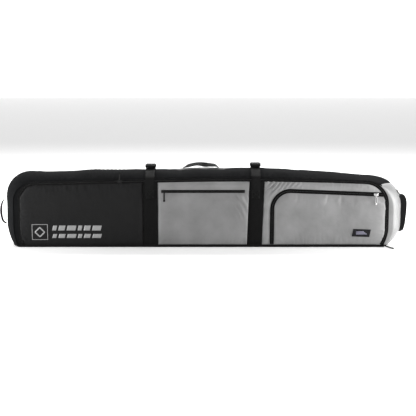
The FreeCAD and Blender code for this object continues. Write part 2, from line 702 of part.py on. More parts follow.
def make_pocket_zips():
    half = dim("pocket_tape") / 2
    coil = dim("pocket_coil") / 2
    thick, ridge = dim("pocket_tape_thickness"), dim("pocket_coil_height")
    x, z, length = dim("middle_zip_x"), dim("middle_zip_z"), dim("middle_zip_length")
    body = new_body("middle_zip")
    tape = new_sketch(body, "middle_tape", "XZ_Plane", HALF)
    rectangle(tape, x - length / 2, x + length / 2, z - half, z + half)
    pad(body, tape, thick)
    teeth = new_sketch(body, "middle_coil", "XZ_Plane", HALF)
    rectangle(teeth, x - length / 2 + 2, x + length / 2 - 2, z - coil, z + coil)
    pad(body, teeth, thick + ridge)
    keep(body, "middle_pocket_zip")

    # The right pocket zip climbs from the bottom, turns and runs gently down to the right end.
    arch = new_body("right_zip")
    slope = math.radians(DIMENSIONS["arch_slope"])
    radius = dim("arch_radius")
    centre_x = dim("arch_x") + radius
    centre = FreeCAD.Vector(centre_x.number, DIMENSIONS["arch_top"] - radius.number, 0)
    crown = centre + FreeCAD.Vector(math.sin(slope), math.cos(slope), 0) * radius.number
    end_x = dim("arch_end")
    end = FreeCAD.Vector(end_x.number, crown.y - (end_x.number - crown.x) * math.tan(slope), 0)
    start = vector(dim("arch_x"), dim("arch_bottom"))
    path = new_sketch(arch, "arch_path", "XZ_Plane")
    climb = path.addGeometry(Part.LineSegment(start, FreeCAD.Vector(start.x, centre.y, 0)), False)
    bend = path.addGeometry(Part.ArcOfCircle(
        Part.Circle(centre, FreeCAD.Vector(0, 0, 1), radius.number), math.pi / 2 - slope, math.pi), False)
    run = path.addGeometry(Part.LineSegment(crown, end), False)
    path.addConstraint(Sketcher.Constraint("Tangent", climb, 2, bend, 2))
    path.addConstraint(Sketcher.Constraint("Tangent", bend, 1, run, 1))
    path.addConstraint(Sketcher.Constraint("Vertical", climb))
    held = path.addConstraint(Sketcher.Constraint("Radius", bend, radius.number))
    bind(path, held, radius)
    pin(path, climb, 1, dim("arch_x"), dim("arch_bottom"))
    tall = path.addConstraint(Sketcher.Constraint("DistanceY", -1, 1, bend, 3, centre.y))
    bind(path, tall, dim("arch_top") - radius)
    tilt = path.addConstraint(Sketcher.Constraint("Angle", run, -slope))
    path.setExpression(f"Constraints[{tilt}]", "Dims.arch_slope * -1deg")
    last = path.addConstraint(Sketcher.Constraint("DistanceX", -1, 1, run, 2, end.x))
    bind(path, last, end_x)
    for label, width, inner, outer in (("arch_tape", half + 1, HALF, HALF + thick),
                                       ("arch_coil", coil, HALF + thick, HALF + thick + ridge)):
        section = new_sketch(arch, label, "XY_Plane", dim("arch_bottom"))
        rectangle(section, dim("arch_x") - width, dim("arch_x") + width, -outer, -inner)
        doc.recompute()
        pipe = arch.newObject("PartDesign::AdditivePipe", f"{label}_pipe")
        pipe.Profile = section
        pipe.Spine = (path, ["Edge1", "Edge2", "Edge3"])
    keep(arch, "right_pocket_zip")


# ---- sliders and pulls ----------------------------------------------------------------

def slider(name):
    """A slider that runs along its X axis on a zip whose outside faces +Z."""
    body = new_body(name)
    length, width = dim("slider_length") / 2, dim("slider_width") / 2
    plan = new_sketch(body, f"{name}_plan", "XY_Plane")
    polygon(plan, [(-length, -width * 0.6), (-length * 0.2, -width), (length, -width * 0.9),
                   (length, width * 0.9), (-length * 0.2, width), (-length, width * 0.6)])
    pad(body, plan, dim("slider_height") - dim("bridge_wire"))
    base = dim("slider_height") - dim("bridge_wire")
    half, wide = dim("bridge_length") / 2, dim("bridge_width") / 2
    wire = dim("bridge_wire")
    posts = new_sketch(body, f"{name}_posts", "XY_Plane", base - 0.5)
    rectangle(posts, -half, -half + wire, -wide, wide)
    rectangle(posts, half - wire, half, -wide, wide)
    pad(body, posts, dim("bridge_height") + 0.5)
    bar = new_sketch(body, f"{name}_bar", "XY_Plane", base + dim("bridge_height") - wire)
    rectangle(bar, -half, half, -wide, wide)
    pad(body, bar, wire)
    return body


def loop_pull(name):
    """A slim loop that rings the bridge bar; it hangs along -Z and swings about its X axis."""
    body = new_body(name)
    eye = dim("loop_eye")
    outside = eye + dim("loop_ring")
    half = dim("loop_thickness") / 2
    width = dim("loop_width")
    side = new_sketch(body, f"{name}_side", "YZ_Plane", -width / 2)
    circle(side, ZERO, ZERO, outside)
    pad(body, side, width)
    stem = new_sketch(body, f"{name}_stem", "YZ_Plane", -width / 2)
    rectangle(stem, -half, half, -dim("loop_length"), -eye - 0.4)
    pad(body, stem, width)
    hole = new_sketch(body, f"{name}_hole", "YZ_Plane", -width / 2 - 1)
    circle(hole, ZERO, ZERO, eye)
    pocket(body, hole, width + 2, reverse=True)
    return body


def zip_height_at(x):
    """Height of the main zip's centre line on the sloping left half of the top."""
    slope = math.radians(DIMENSIONS["top_slope"])
    centre_z = DIMENSIONS["seam_height"] - DIMENSIONS["crown_radius"]
    crown = DIMENSIONS["zip_height"] - centre_z
    start_x = DIMENSIONS["crown_x"] - crown * math.sin(slope)
    return centre_z + crown * math.cos(slope) - (start_x - x) * math.tan(slope)


def arch_height_at(x):
    """Height of the right pocket zip on its long run."""
    turn = math.radians(DIMENSIONS["arch_slope"])
    radius = DIMENSIONS["arch_radius"]
    start_x = DIMENSIONS["arch_x"] + radius + radius * math.sin(turn)
    start_z = DIMENSIONS["arch_top"] - radius + radius * math.cos(turn)
    return start_z - (x - start_x) * math.tan(turn)


def fit(body, x, y, z, rotations):
    """Place a fitting that turns about one axis after another."""
    turned = FreeCAD.Rotation()
    for axis, angle in rotations:
        turned = FreeCAD.Rotation(FreeCAD.Vector(*axis), angle).multiply(turned)
    body.Placement = FreeCAD.Placement(FreeCAD.Vector(x, y, z), turned)
    return body


def make_sliders():
    """Three sliders on the front, each with a pull that swings on its bridge bar."""
    size = DIMENSIONS
    bar = size["slider_height"] + size["bridge_height"] - size["bridge_wire"] * 1.5
    face = -(size["half_depth"] + size["tape"] + size["coil_height"] + size["slider_gap"])
    rows = (
        ("main_zip", size["main_slider_x"], zip_height_at(size["main_slider_x"]), -size["top_slope"],
         size["main_pull_lean"]),
        ("middle_pocket", size["middle_slider_x"], size["middle_zip_z"], 0, 0),
        ("right_pocket", size["right_slider_x"], arch_height_at(size["right_slider_x"]),
         size["arch_slope"], 0),
    )
    for name, x, z, tilt, swing in rows:
        turns = (((1, 0, 0), 90), ((0, 1, 0), tilt))
        keep(fit(slider(f"{name}_runner"), x, face, z, turns), f"{name}_slider")
        keep(fit(loop_pull(f"{name}_loop"), x, face - bar, z, (((1, 0, 0), swing),)), f"{name}_pull")


# ---- patches and prints ---------------------------------------------------------------

def make_patches():
    # The zip ends in a slim stiff tail that lies out in front of the lower right corner.
    tail = new_body("tail")
    shape = new_sketch(tail, "tail_shape", "XY_Plane")
    rectangle(shape, ZERO, dim("tail_width"), -dim("tail_length"), ZERO)
    pad(tail, shape, dim("tail_width") * 0.8)
    size = DIMENSIONS
    turns = (((1, 0, 0), size["tail_droop"]), ((0, 0, 1), size["tail_turn"]))
    fit(tail, size["tail_x"], -size["tail_y"], size["tail_z"], turns)
    keep(tail, "zip_end_tail")

    thick = dim("label_thickness")
    label = block("label_patch", 0, dim("label_length"), 0, thick, 0, dim("label_height"))
    place(label, dim("label_x"), -HALF - thick, dim("label_z"), axis=(0, 1, 0), angle=dim("label_tilt"))
    keep(label, "label_patch")

    # A plain badge beside two bars, printed on the left panel.
    body = new_body("panel_print")
    face = new_sketch(body, "print_face", "XZ_Plane", HALF)
    badge_x, badge_z, bar_x = dim("badge_x"), dim("badge_z"), dim("bar_x")
    rectangle(face, badge_x, badge_x + dim("badge_size"), badge_z, badge_z + dim("badge_size"))
    for bar in ("upper_bar", "lower_bar"):
        low = dim(f"{bar}_z")
        rectangle(face, bar_x, bar_x + dim(f"{bar}_length"), low, low + dim(f"{bar}_height"))
    pad(body, face, dim("print_thickness"))
    body.AllowCompound = True
    keep(body, "panel_print")


def check_and_export():
    doc.recompute()
    for item in doc.Objects:
        if "Invalid" in item.State or "Error" in item.State:
            raise RuntimeError(f"{item.Name} failed: {item.State}")
    os.makedirs("parts", exist_ok=True)
    for item in PARTS:
        shape = item.Shape
        if shape.isNull() or not shape.isValid() or not shape.Solids:
            raise RuntimeError(f"{item.Label} has no valid solid")
        box = shape.BoundBox
        print(f"{item.Label:24s} solids {len(shape.Solids)} volume {shape.Volume:12.0f}  "
              f"x {box.XMin:8.1f} {box.XMax:8.1f}  y {box.YMin:7.1f} {box.YMax:7.1f}  "
              f"z {box.ZMin:7.1f} {box.ZMax:7.1f}")
        shape.exportStep(f"parts/{item.Label}.step")
    print(len(PARTS), "parts")


make_gussets()
make_main_zip()
make_base()
make_panels()
make_straps()
make_handles()
make_pocket_zips()
make_sliders()
make_patches()
check_and_export()
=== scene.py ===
import json
import math

import bpy
import bmesh
import numpy as np
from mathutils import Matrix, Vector
from mathutils.bvhtree import BVHTree


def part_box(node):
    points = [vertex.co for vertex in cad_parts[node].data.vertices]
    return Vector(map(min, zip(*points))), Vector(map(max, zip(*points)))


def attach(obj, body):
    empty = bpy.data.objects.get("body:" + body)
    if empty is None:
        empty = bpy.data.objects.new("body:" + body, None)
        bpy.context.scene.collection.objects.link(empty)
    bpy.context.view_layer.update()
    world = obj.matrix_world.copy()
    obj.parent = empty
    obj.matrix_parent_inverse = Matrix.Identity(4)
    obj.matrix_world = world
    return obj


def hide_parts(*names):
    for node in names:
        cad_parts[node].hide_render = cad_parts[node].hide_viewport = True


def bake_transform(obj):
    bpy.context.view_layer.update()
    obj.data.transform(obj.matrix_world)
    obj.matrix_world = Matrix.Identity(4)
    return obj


# Padded snowboard bag standing on its long narrow edge. Metres; +X along the bag,
# the front faces -Y, +Z is up and the origin is the middle of the base.

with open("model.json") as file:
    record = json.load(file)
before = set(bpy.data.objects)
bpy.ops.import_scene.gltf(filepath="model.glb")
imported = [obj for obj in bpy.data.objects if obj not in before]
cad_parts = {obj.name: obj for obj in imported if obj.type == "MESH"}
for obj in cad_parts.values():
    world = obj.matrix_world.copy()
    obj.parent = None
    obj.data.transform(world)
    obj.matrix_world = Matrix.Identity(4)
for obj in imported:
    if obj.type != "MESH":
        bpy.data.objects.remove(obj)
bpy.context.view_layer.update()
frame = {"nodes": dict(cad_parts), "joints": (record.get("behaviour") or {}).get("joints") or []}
scene = bpy.context.scene

# ---- sizes, from the frame --------------------------------------------------------------

LOW, HIGH = 0, 1


def edge(node, side, axis):
    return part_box(node)[side]["xyz".index(axis)]


def span(node, axis):
    return edge(node, LOW, axis), edge(node, HIGH, axis)


FACE = edge("middle_front_panel", LOW, "y")
REAR = edge("back_panel", HIGH, "y")
SEAT = edge("left_end_gusset", LOW, "z")
GAP = edge("main_zip_tape_cover", LOW, "z") - SEAT
ZIP_LEFT = -edge("main_zip_tape_cover", LOW, "x") + GAP
ZIP_RIGHT = edge("main_zip_tape_cover", HIGH, "x") + GAP
ZIP_TOP = edge("main_zip_tape_cover", HIGH, "z") + GAP
TAPE = edge("main_zip_tape_body", HIGH, "x") - ZIP_RIGHT
TAPE_THICK = FACE - edge("main_zip_tape_body", LOW, "y")
BAND_1 = span("left_divider_band", "x")
BAND_2 = span("right_divider_band", "x")
END_X = edge("right_end_panel", HIGH, "x")

# The seam line stands 36 mm inside the bulged ends and top, which bulge as arcs of one radius.
RISE = 0.036
DOME = (REAR ** 2 + RISE ** 2) / (2 * RISE)
SEAM_X = END_X - RISE
CROWN_X = 0.142
CROWN_RADIUS = 13.0
SLOPE = math.radians(1.5)
SEAM_TOP = ZIP_TOP + 0.006
CENTRE_Z = SEAM_TOP - CROWN_RADIUS
SEAM_CORNERS = (0.080, 0.120)
ZIP_CORNERS = (0.062, 0.092)
WEBBING = edge("left_strap_front", HIGH, "x") - edge("left_strap_front", LOW, "x")
STEP = 0.006
SEAM_OVERLAP = 0.004
BACK_INSET_SHARE = 0.1

# How the soft bag settles: side, how far its end tucks in, and below which height.
END_TUCKS = ((-1, 0.026, 0.095), (1, 0.058, 0.085))
TUCK_FROM = 0.62
BAND_LEAN = 0.011


def smooth(t):
    t = np.clip(t, 0.0, 1.0)
    return t * t * (3 - 2 * t)


def layered(x, y, z):
    """Points from three grids or single numbers that fit together."""
    return np.stack(np.broadcast_arrays(x, y, z), axis=-1)


def tiled(direction, count):
    return np.tile(np.array(direction, float), (count, 1))


def directions(path):
    """Unit direction along a path at each of its points."""
    ahead = np.gradient(path, axis=0)
    return ahead / np.linalg.norm(ahead, axis=1, keepdims=True)


def distances(points):
    """Distance along a line at each of its points."""
    gaps = np.linalg.norm(np.diff(points, axis=0), axis=1)
    return np.concatenate([[0], np.cumsum(gaps)])


def read_off(at, known, values):
    """Both columns of a table of values, read off at other distances."""
    return np.stack([np.interp(at, known, values[:, i]) for i in (0, 1)], axis=-1)


def chain(pieces):
    """One line of points and outward directions from stretches that share their ends."""
    points = np.vstack([p[0][:-1] for p in pieces] + [pieces[-1][0][-1:]])
    out = np.vstack([p[1][:-1] for p in pieces] + [pieces[-1][1][-1:]])
    return points, out


def raised_grid(columns, tops, low, rows):
    """Front-view x and z of a grid whose columns rise from one level, and the share of the rise."""
    v = np.linspace(0, 1, rows)[:, None]
    x = np.repeat(columns[None, :], rows, axis=0)
    return x, low + (tops[None, :] - low) * v, v


# ---- outline of the bag -----------------------------------------------------------------

class Outline:
    """A front-view line from the lower left end, over the top, to the lower right end."""

    def __init__(self, left, right, height, corners, low, step=STEP, counts=None):
        corner_l, corner_r = corners
        crown = height - CENTRE_Z
        start = np.array([CROWN_X - math.sin(SLOPE) * crown, CENTRE_Z + math.cos(SLOPE) * crown])
        left_x = -left + corner_l
        run = (start[0] - left_x + corner_l * math.sin(SLOPE)) / math.cos(SLOPE)
        along = np.array([math.cos(SLOPE), math.sin(SLOPE)])
        slope_start = start - along * run
        self.left_z = slope_start[1] - corner_l * math.cos(SLOPE)
        right_x = right - corner_r
        reach = crown - corner_r
        self.right_z = CENTRE_Z + math.sqrt(reach ** 2 - (right_x - CROWN_X) ** 2)
        lean = math.atan2(self.right_z - CENTRE_Z, right_x - CROWN_X)
        tilt = math.pi / 2 + SLOPE
        upright = (-math.sin(SLOPE), math.cos(SLOPE))
        counts = counts or [None] * 6
        pieces = [
            self.straight((-left, low), (-left, self.left_z), (-1, 0), step, counts[0]),
            self.arc((left_x, self.left_z), corner_l, math.pi, tilt, step, counts[1]),
            self.straight(slope_start, start, upright, step, counts[2]),
            self.arc((CROWN_X, CENTRE_Z), crown, tilt, lean, step, counts[3]),
            self.arc((right_x, self.right_z), corner_r, lean, 0, step, counts[4]),
            self.straight((right, self.right_z), (right, low), (1, 0), step, counts[5]),
        ]
        self.counts = [len(p[0]) for p in pieces]
        self.points, self.out = chain(pieces)
        self.s = distances(self.points)
        self.length = self.s[-1]

    @staticmethod
    def straight(start, end, out, step, count=None):
        start, end = np.array(start, float), np.array(end, float)
        count = count or max(2, int(np.linalg.norm(end - start) / step) + 1)
        t = np.linspace(0, 1, count)[:, None]
        return start + (end - start) * t, np.repeat(np.array([out], float), count, axis=0)

    @staticmethod
    def arc(centre, radius, first, last, step, count=None):
        count = count or max(6, int(abs(last - first) * radius / min(step, radius * 0.08)) + 1)
        turn = np.linspace(first, last, count)
        out = np.stack([np.cos(turn), np.sin(turn)], axis=1)
        return np.array(centre) + out * radius, out

    def at(self, s):
        """Points and outward directions at distances along the line."""
        s = np.clip(s, 0, self.length)
        point = read_off(s, self.s, self.points)
        out = read_off(s, self.s, self.out)
        return point, out / np.linalg.norm(out, axis=-1, keepdims=True)

    def s_at_x(self, x):
        return float(np.interp(x, self.points[:, 0], self.s))

    def s_at_angle(self, degrees):
        """Where the outward direction has turned to an angle above +X, on the right half."""
        turn = np.degrees(np.arctan2(self.out[:, 1], self.out[:, 0]))
        right = self.points[:, 0] > 0.3
        return float(np.interp(-degrees, -turn[right], self.s[right]))

    def top(self, x):
        x_known, z_known = self.points[:, 0], self.points[:, 1]
        return np.interp(x, x_known, np.where(z_known > 0.1, z_known, self.right_z))


seam = Outline(SEAM_X, SEAM_X, SEAM_TOP, SEAM_CORNERS, SEAT)
zip_line = Outline(ZIP_LEFT, ZIP_RIGHT, ZIP_TOP, ZIP_CORNERS, SEAT + GAP)
zip_beside_seam = Outline(ZIP_LEFT, ZIP_RIGHT, ZIP_TOP, ZIP_CORNERS, SEAT, counts=seam.counts)


def bulge_share(s):
    """How far the gusset bulges along the seam, as a share of its full rise; the top sinks to the right."""
    stations = (
        (0.0, 1.0), (SEAM_TOP - SEAT - 0.105, 1.0), (seam.s_at_x(-SEAM_X + 0.024), 1.38),
        (seam.s_at_x(-0.69), 0.98), (seam.s_at_x(-0.45), 1.04),
        (seam.s_at_x(-0.12), 0.90), (seam.s_at_x(CROWN_X), 0.98), (seam.s_at_x(0.35), 0.80),
        (seam.s_at_x(0.55), 0.66), (seam.s_at_x(0.62), 0.48), (seam.s_at_x(0.69), 0.36),
        (seam.s_at_angle(45), 1.0), (seam.s_at_angle(20), 1.15), (seam.length, 1.0),
    )
    at = np.array([station[0] for station in stations])
    share = np.array([station[1] for station in stations])
    spread = np.linspace(-0.030, 0.030, 9)
    return np.mean([np.interp(s + shift, at, share) for shift in spread], axis=0)


def settle(points):
    """Tuck both ends in towards the base and lean the right band."""
    points = np.array(points, float)
    x, z = points[..., 0].copy(), points[..., 2]
    for side, reach, height in END_TUCKS:
        near = np.clip((x * side - TUCK_FROM) / (END_X - TUCK_FROM), 0, 1) ** 2
        lift = np.clip(1 - z / height, 0, 1)
        points[..., 0] -= side * reach * near * lift ** 2
    lean = smooth((x - 0.13) / 0.05) * smooth((0.30 - x) / 0.05)
    points[..., 0] -= BAND_LEAN * lean * np.clip(1 - z / ZIP_TOP, 0, 1)
    return points


# ---- noise ------------------------------------------------------------------------------

def lattice(seed, *grid):
    value = np.zeros_like(grid[0])
    for cell, weight in zip(grid, (127.1, 311.7, 74.7)):
        value = value + cell * weight
    wave = np.sin(value + seed * 17.3) * 43758.5453
    return wave - np.floor(wave)


def value_noise(x, y, size, seed=0):
    """Smooth noise from -1 to 1 over a plane, with bumps about size across."""
    x, y = np.asarray(x) / size, np.asarray(y) / size
    cell_x, cell_y = np.floor(x), np.floor(y)
    u, v = smooth(x - cell_x), smooth(y - cell_y)
    corners = [lattice(seed, cell_x + i, cell_y + j) for j in (0, 1) for i in (0, 1)]
    low = corners[0] * (1 - u) + corners[1] * u
    high = corners[2] * (1 - u) + corners[3] * u
    return (low * (1 - v) + high * v) * 2 - 1


def lumps(x, y, size, seed=0):
    total = value_noise(x, y, size, seed) + 0.5 * value_noise(x, y, size * 0.47, seed + 5)
    return total / 1.5


def puckers(along, across, spacing, reach, seed=0):
    """Small folds that stand square to a seam and fade away from it."""
    drift = along + 0.010 * value_noise(along, across, 0.05, seed)
    wave = np.sin(drift / spacing * 2 * math.pi + 2.5 * value_noise(along, across, 0.07, seed + 2))
    strength = 0.35 + 0.65 * np.clip(value_noise(along, seed, 0.11, seed + 3) + 0.3, 0, 1)
    return wave * strength * np.exp(-np.abs(across) / reach)


# ---- mesh helpers -----------------------------------------------------------------------

def add_mesh(name, points, faces, smooth_faces=True):
    mesh = bpy.data.meshes.new(name)
    mesh.from_pydata([tuple(p) for p in np.asarray(points, float).reshape(-1, 3)], [], faces)
    mesh.update()
    if smooth_faces:
        mesh.polygons.foreach_set("use_smooth", [True] * len(mesh.polygons))
    obj = bpy.data.objects.new(name, mesh)
    scene.collection.objects.link(obj)
    return obj


def grid_faces(rows, columns, offset=0, closed=False):
    faces = []
    last = columns if closed else columns - 1
    for i in range(rows - 1):
        for j in range(last):
            k = (j + 1) % columns
            faces.append((offset + i * columns + j, offset + (i + 1) * columns + j,
                          offset + (i + 1) * columns + k, offset + i * columns + k))
    return faces


def outward(obj):
    work = bmesh.new()
    work.from_mesh(obj.data)
    bmesh.ops.recalc_face_normals(work, faces=work.faces)
    work.to_mesh(obj.data)
    work.free()


def slab(name, front, rear):
    """A closed sheet between two grids of points that share their borders' places."""
    rows, columns = front.shape[:2]
    count = rows * columns
    faces = grid_faces(rows, columns)
    faces += [tuple(reversed(f)) for f in grid_faces(rows, columns, count)]
    rim = [i * columns for i in range(rows)]
    rim += [(rows - 1) * columns + j for j in range(1, columns)]
    rim += [i * columns + columns - 1 for i in range(rows - 2, -1, -1)]
    rim += list(range(columns - 2, 0, -1))
    for a, b in zip(rim, rim[1:] + rim[:1]):
        faces.append((a, count + a, count + b, b))
    obj = add_mesh(name, np.concatenate([front.reshape(-1, 3), rear.reshape(-1, 3)]), faces)
    outward(obj)
    obj["front_count"] = count
    return obj


def tube(name, rings):
    """A closed skin over rings of points, with a cap at each end."""
    rows, columns = rings.shape[:2]
    faces = grid_faces(rows, columns, closed=True)
    faces.append(tuple(reversed(range(columns))))
    faces.append(tuple((rows - 1) * columns + j for j in range(columns)))
    obj = add_mesh(name, rings, faces)
    outward(obj)
    return obj


def swept(path, sides, ups, outline):
    """Rings of points: an outline of (across, up) points carried along a path."""
    path, sides, ups, outline = (np.asarray(v, float) for v in (path, sides, ups, outline))
    return (path[:, None, :] + sides[:, None, :] * outline[None, :, :1]
            + ups[:, None, :] * outline[None, :, 1:2])


def sweep(name, path, sides, ups, outline):
    return tube(name, swept(path, sides, ups, outline))


def round_outline(width, thick, segments=3):
    """A flat strip's outline with rounded edges."""
    half, radius = width / 2, thick / 2
    points = []
    for centre, first in (((half - radius), -90), (-(half - radius), 90)):
        for step in range(segments + 1):
            turn = math.radians(first + 180 * step / segments)
            points.append((centre + radius * math.cos(turn), radius * math.sin(turn)))
    return points


def copies(name, centres, sides, ups, size, taper=0.75):
    """Many small blocks in one mesh, each on its own centre and directions."""
    centres, sides, ups = (np.asarray(v, float) for v in (centres, sides, ups))
    thirds = np.cross(sides, ups)
    long, wide, high = (s / 2 for s in size)
    corners = [(-long, -wide, -high), (long, -wide, -high), (long, wide, -high), (-long, wide, -high),
               (-long * taper, -wide * taper, high), (long * taper, -wide * taper, high),
               (long * taper, wide * taper, high), (-long * taper, wide * taper, high)]
    pattern = ((0, 3, 2, 1), (4, 5, 6, 7), (0, 1, 5, 4), (1, 2, 6, 5), (2, 3, 7, 6), (3, 0, 4, 7))
    points, faces = [], []
    for index in range(len(centres)):
        for a, b, c in corners:
            points.append(centres[index] + sides[index] * a + thirds[index] * b + ups[index] * c)
        faces += [tuple(8 * index + v for v in face) for face in pattern]
    return add_mesh(name, points, faces, smooth_faces=False)


def join(name, objects):
    bpy.ops.object.select_all(action="DESELECT")
    for obj in objects:
        obj.select_set(True)
    bpy.context.view_layer.objects.active = objects[0]
    bpy.ops.object.join()
    joined = bpy.context.view_layer.objects.active
    joined.name = name
    joined.data.name = name
    return joined


def subdivide(obj, levels=1):
    modifier = obj.modifiers.new("soften", "SUBSURF")
    modifier.levels = modifier.render_levels = levels


def finish_piece(obj, body, material, nodes=()):
    obj.data.materials.clear()
    obj.data.materials.append(material)
    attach(obj, body)
    if nodes:
        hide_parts(*nodes)
    return obj


def surface_of(obj):
    bpy.context.view_layer.update()
    return BVHTree.FromObject(obj, bpy.context.evaluated_depsgraph_get())


def front_y(tree, x, z, default):
    hit = tree.ray_cast(Vector((x, -0.5, z)), Vector((0, 1, 0)), 0.55)
    return hit[0].y if hit[0] else default


# ---- materials --------------------------------------------------------------------------

def linear(level):
    level = level / 255
    return level / 12.92 if level < 0.04045 else ((level + 0.055) / 1.055) ** 2.4


def grey(level, tint=(1.0, 1.0, 1.0)):
    return tuple(linear(level * t) for t in tint) + (1,)


def new_material(name):
    made = bpy.data.materials.new(name)
    made.use_nodes = True
    tree = made.node_tree
    return made, tree, tree.nodes["Principled BSDF"]


def set_inputs(node, values):
    for name, value in values.items():
        node.inputs[name].default_value = value


def noise_node(tree, scale, detail, where):
    node = tree.nodes.new("ShaderNodeTexNoise")
    set_inputs(node, {"Scale": scale, "Detail": detail})
    tree.links.new(where, node.inputs["Vector"])
    return node


def ramp(tree, factor, low, high, start=0.3, end=0.7):
    node = tree.nodes.new("ShaderNodeValToRGB")
    node.color_ramp.elements[0].position = start
    node.color_ramp.elements[0].color = low
    node.color_ramp.elements[1].position = end
    node.color_ramp.elements[1].color = high
    tree.links.new(factor, node.inputs["Fac"])
    return node.outputs["Color"]


def bump(tree, height, strength, distance, before=None):
    node = tree.nodes.new("ShaderNodeBump")
    set_inputs(node, {"Strength": strength, "Distance": distance})
    tree.links.new(height, node.inputs["Height"])
    if before:
        tree.links.new(before, node.inputs["Normal"])
    return node.outputs["Normal"]


def weave(tree, where, pitch, turn):
    node = tree.nodes.new("ShaderNodeTexWave")
    node.bands_direction = turn
    set_inputs(node, {"Scale": 0.314 / pitch, "Distortion": 0.6, "Detail": 1.0})
    tree.links.new(where, node.inputs["Vector"])
    return node.outputs["Fac"]


def fabric(name, level, rough=0.55, pitch=0.0011, weave_strength=0.35, sheen=0.25, wrinkle=0.5,
           metallic=0.0, tint=(1, 1, 1), variation=0.08, shine=0.5):
    """Woven cloth: two crossed thread directions, faint patches of wear and soft creases."""
    made, tree, shader = new_material(name)
    where = tree.nodes.new("ShaderNodeTexCoord").outputs["Object"]
    patches = noise_node(tree, 9.0, 4.0, where)
    color = ramp(tree, patches.outputs["Fac"], grey(level * (1 - variation), tint),
                 grey(min(255, level * (1 + variation)), tint))
    tree.links.new(color, shader.inputs["Base Color"])
    fine = noise_node(tree, 700.0, 2.0, where)
    roughness = ramp(tree, fine.outputs["Fac"], (rough - 0.07,) * 3 + (1,), (rough + 0.07,) * 3 + (1,))
    tree.links.new(roughness, shader.inputs["Roughness"])
    creases = noise_node(tree, 26.0, 3.0, where)
    normal = bump(tree, creases.outputs["Fac"], wrinkle, 0.004)
    for turn in ("X", "Z"):
        normal = bump(tree, weave(tree, where, pitch, turn), weave_strength, pitch * 0.3, normal)
    tree.links.new(normal, shader.inputs["Normal"])
    set_inputs(shader, {"Metallic": metallic, "Specular IOR Level": shine,
                        "Sheen Weight": sheen, "Sheen Roughness": 0.4})
    return made


def moulded(name, level, rough=0.4, metallic=0.0, tint=(1, 1, 1), shine=0.5):
    """Moulded plastic or cast metal with a faint grain."""
    made, tree, shader = new_material(name)
    where = tree.nodes.new("ShaderNodeTexCoord").outputs["Object"]
    grain = noise_node(tree, 900.0, 3.0, where)
    color = ramp(tree, grain.outputs["Fac"], grey(level * 0.92, tint), grey(min(255, level * 1.08), tint))
    tree.links.new(color, shader.inputs["Base Color"])
    tree.links.new(bump(tree, grain.outputs["Fac"], 0.25, 0.0003), shader.inputs["Normal"])
    set_inputs(shader, {"Roughness": rough, "Metallic": metallic, "Specular IOR Level": shine})
    return made


BLACK = fabric("black_fabric_cloth", 22, rough=0.82, tint=(0.97, 0.99, 1.03), sheen=0.0, shine=0.02)
BLACK_PANEL = fabric("black_panel_cloth", 10, rough=0.6, tint=(0.97, 0.98, 1.05), sheen=0.03, shine=0.18)
DIVIDER = fabric("divider_cloth", 10, rough=0.8, sheen=0.0, variation=0.12, shine=0.12)
GREY = fabric("grey_cloth", 122, rough=0.48, metallic=0.25, sheen=0.08, shine=0.4)
# The right front panel, right end and rear silver piping are the same silver-grey cloth as the middle panel.
# Here that cloth is set lighter and more metallic than grey_cloth: painted light from the right-hand lamp.
SILVER_PAINTED_LIGHT = fabric("silver_painted_light_cloth", 132, rough=0.40, metallic=0.35, sheen=0.08, shine=0.4)
BASE = fabric("base_cloth", 10, rough=0.62, pitch=0.0016, sheen=0.02, shine=0.1)
WEB = fabric("webbing_cloth", 10, rough=0.8, pitch=0.0018, weave_strength=0.8, sheen=0.0, shine=0.15)
PATCH = fabric("patch_cloth", 16, rough=0.5, pitch=0.0014, sheen=0.03, shine=0.2)
# The right handle patch is the same silver-grey cloth, set lighter still: painted light from the right-hand
# lamp on the right end.
PATCH_SILVER_PAINTED_LIGHT = fabric("patch_silver_painted_light_cloth", 142, rough=0.40, metallic=0.35, sheen=0.08)
ZIP_TAPE = fabric("zip_tape_cloth", 9, rough=0.8, pitch=0.0009, weave_strength=0.7, sheen=0.02, shine=0.1)
LINING = fabric("lining_cloth", 96, rough=0.6, pitch=0.0008, sheen=0.1)
FOAM = fabric("foam_cover_cloth", 84, rough=0.8, pitch=0.0020, weave_strength=0.2)
THREAD = fabric("thread", 30, rough=0.6, pitch=0.0004, sheen=0.03, shine=0.15)
LABEL = fabric("label_cloth", 22, rough=0.6, pitch=0.0007, tint=(0.95, 0.95, 1.1), sheen=0.03, shine=0.15)
MOTIF = fabric("motif_thread", 140, rough=0.55, pitch=0.0005, tint=(0.96, 0.95, 1.08))
PRINT = moulded("print_ink", 140, rough=0.5)
COIL = moulded("zip_coil_nylon", 14, rough=0.45)
PLASTIC = moulded("buckle_plastic_acetal", 9, rough=0.7, shine=0.05)
DARK_METAL = moulded("slider_dark_metal", 24, rough=0.55, metallic=0.4, shine=0.3)
BRIGHT_METAL = moulded("slider_bright_metal", 205, rough=0.25, metallic=0.9)
PULL_BLACK = moulded("pull_rubber", 12, rough=0.6, shine=0.2)
PULL_GREY = moulded("pull_insert", 60, rough=0.6, shine=0.2)


# ---- front panels -----------------------------------------------------------------------

MIDDLE_ZIP_Z = sum(span("middle_pocket_zip", "z")) / 2
MIDDLE_ZIP = span("middle_pocket_zip", "x")
ARCH_HALF = 0.007
ARCH_X = edge("right_pocket_zip", LOW, "x") + ARCH_HALF
ARCH_TOP = edge("right_pocket_zip", HIGH, "z") - ARCH_HALF
ARCH_END = edge("right_pocket_zip", HIGH, "x")
ARCH_RADIUS = 0.075
ARCH_SLOPE = math.radians(2.3)
BULGE = 0.0075


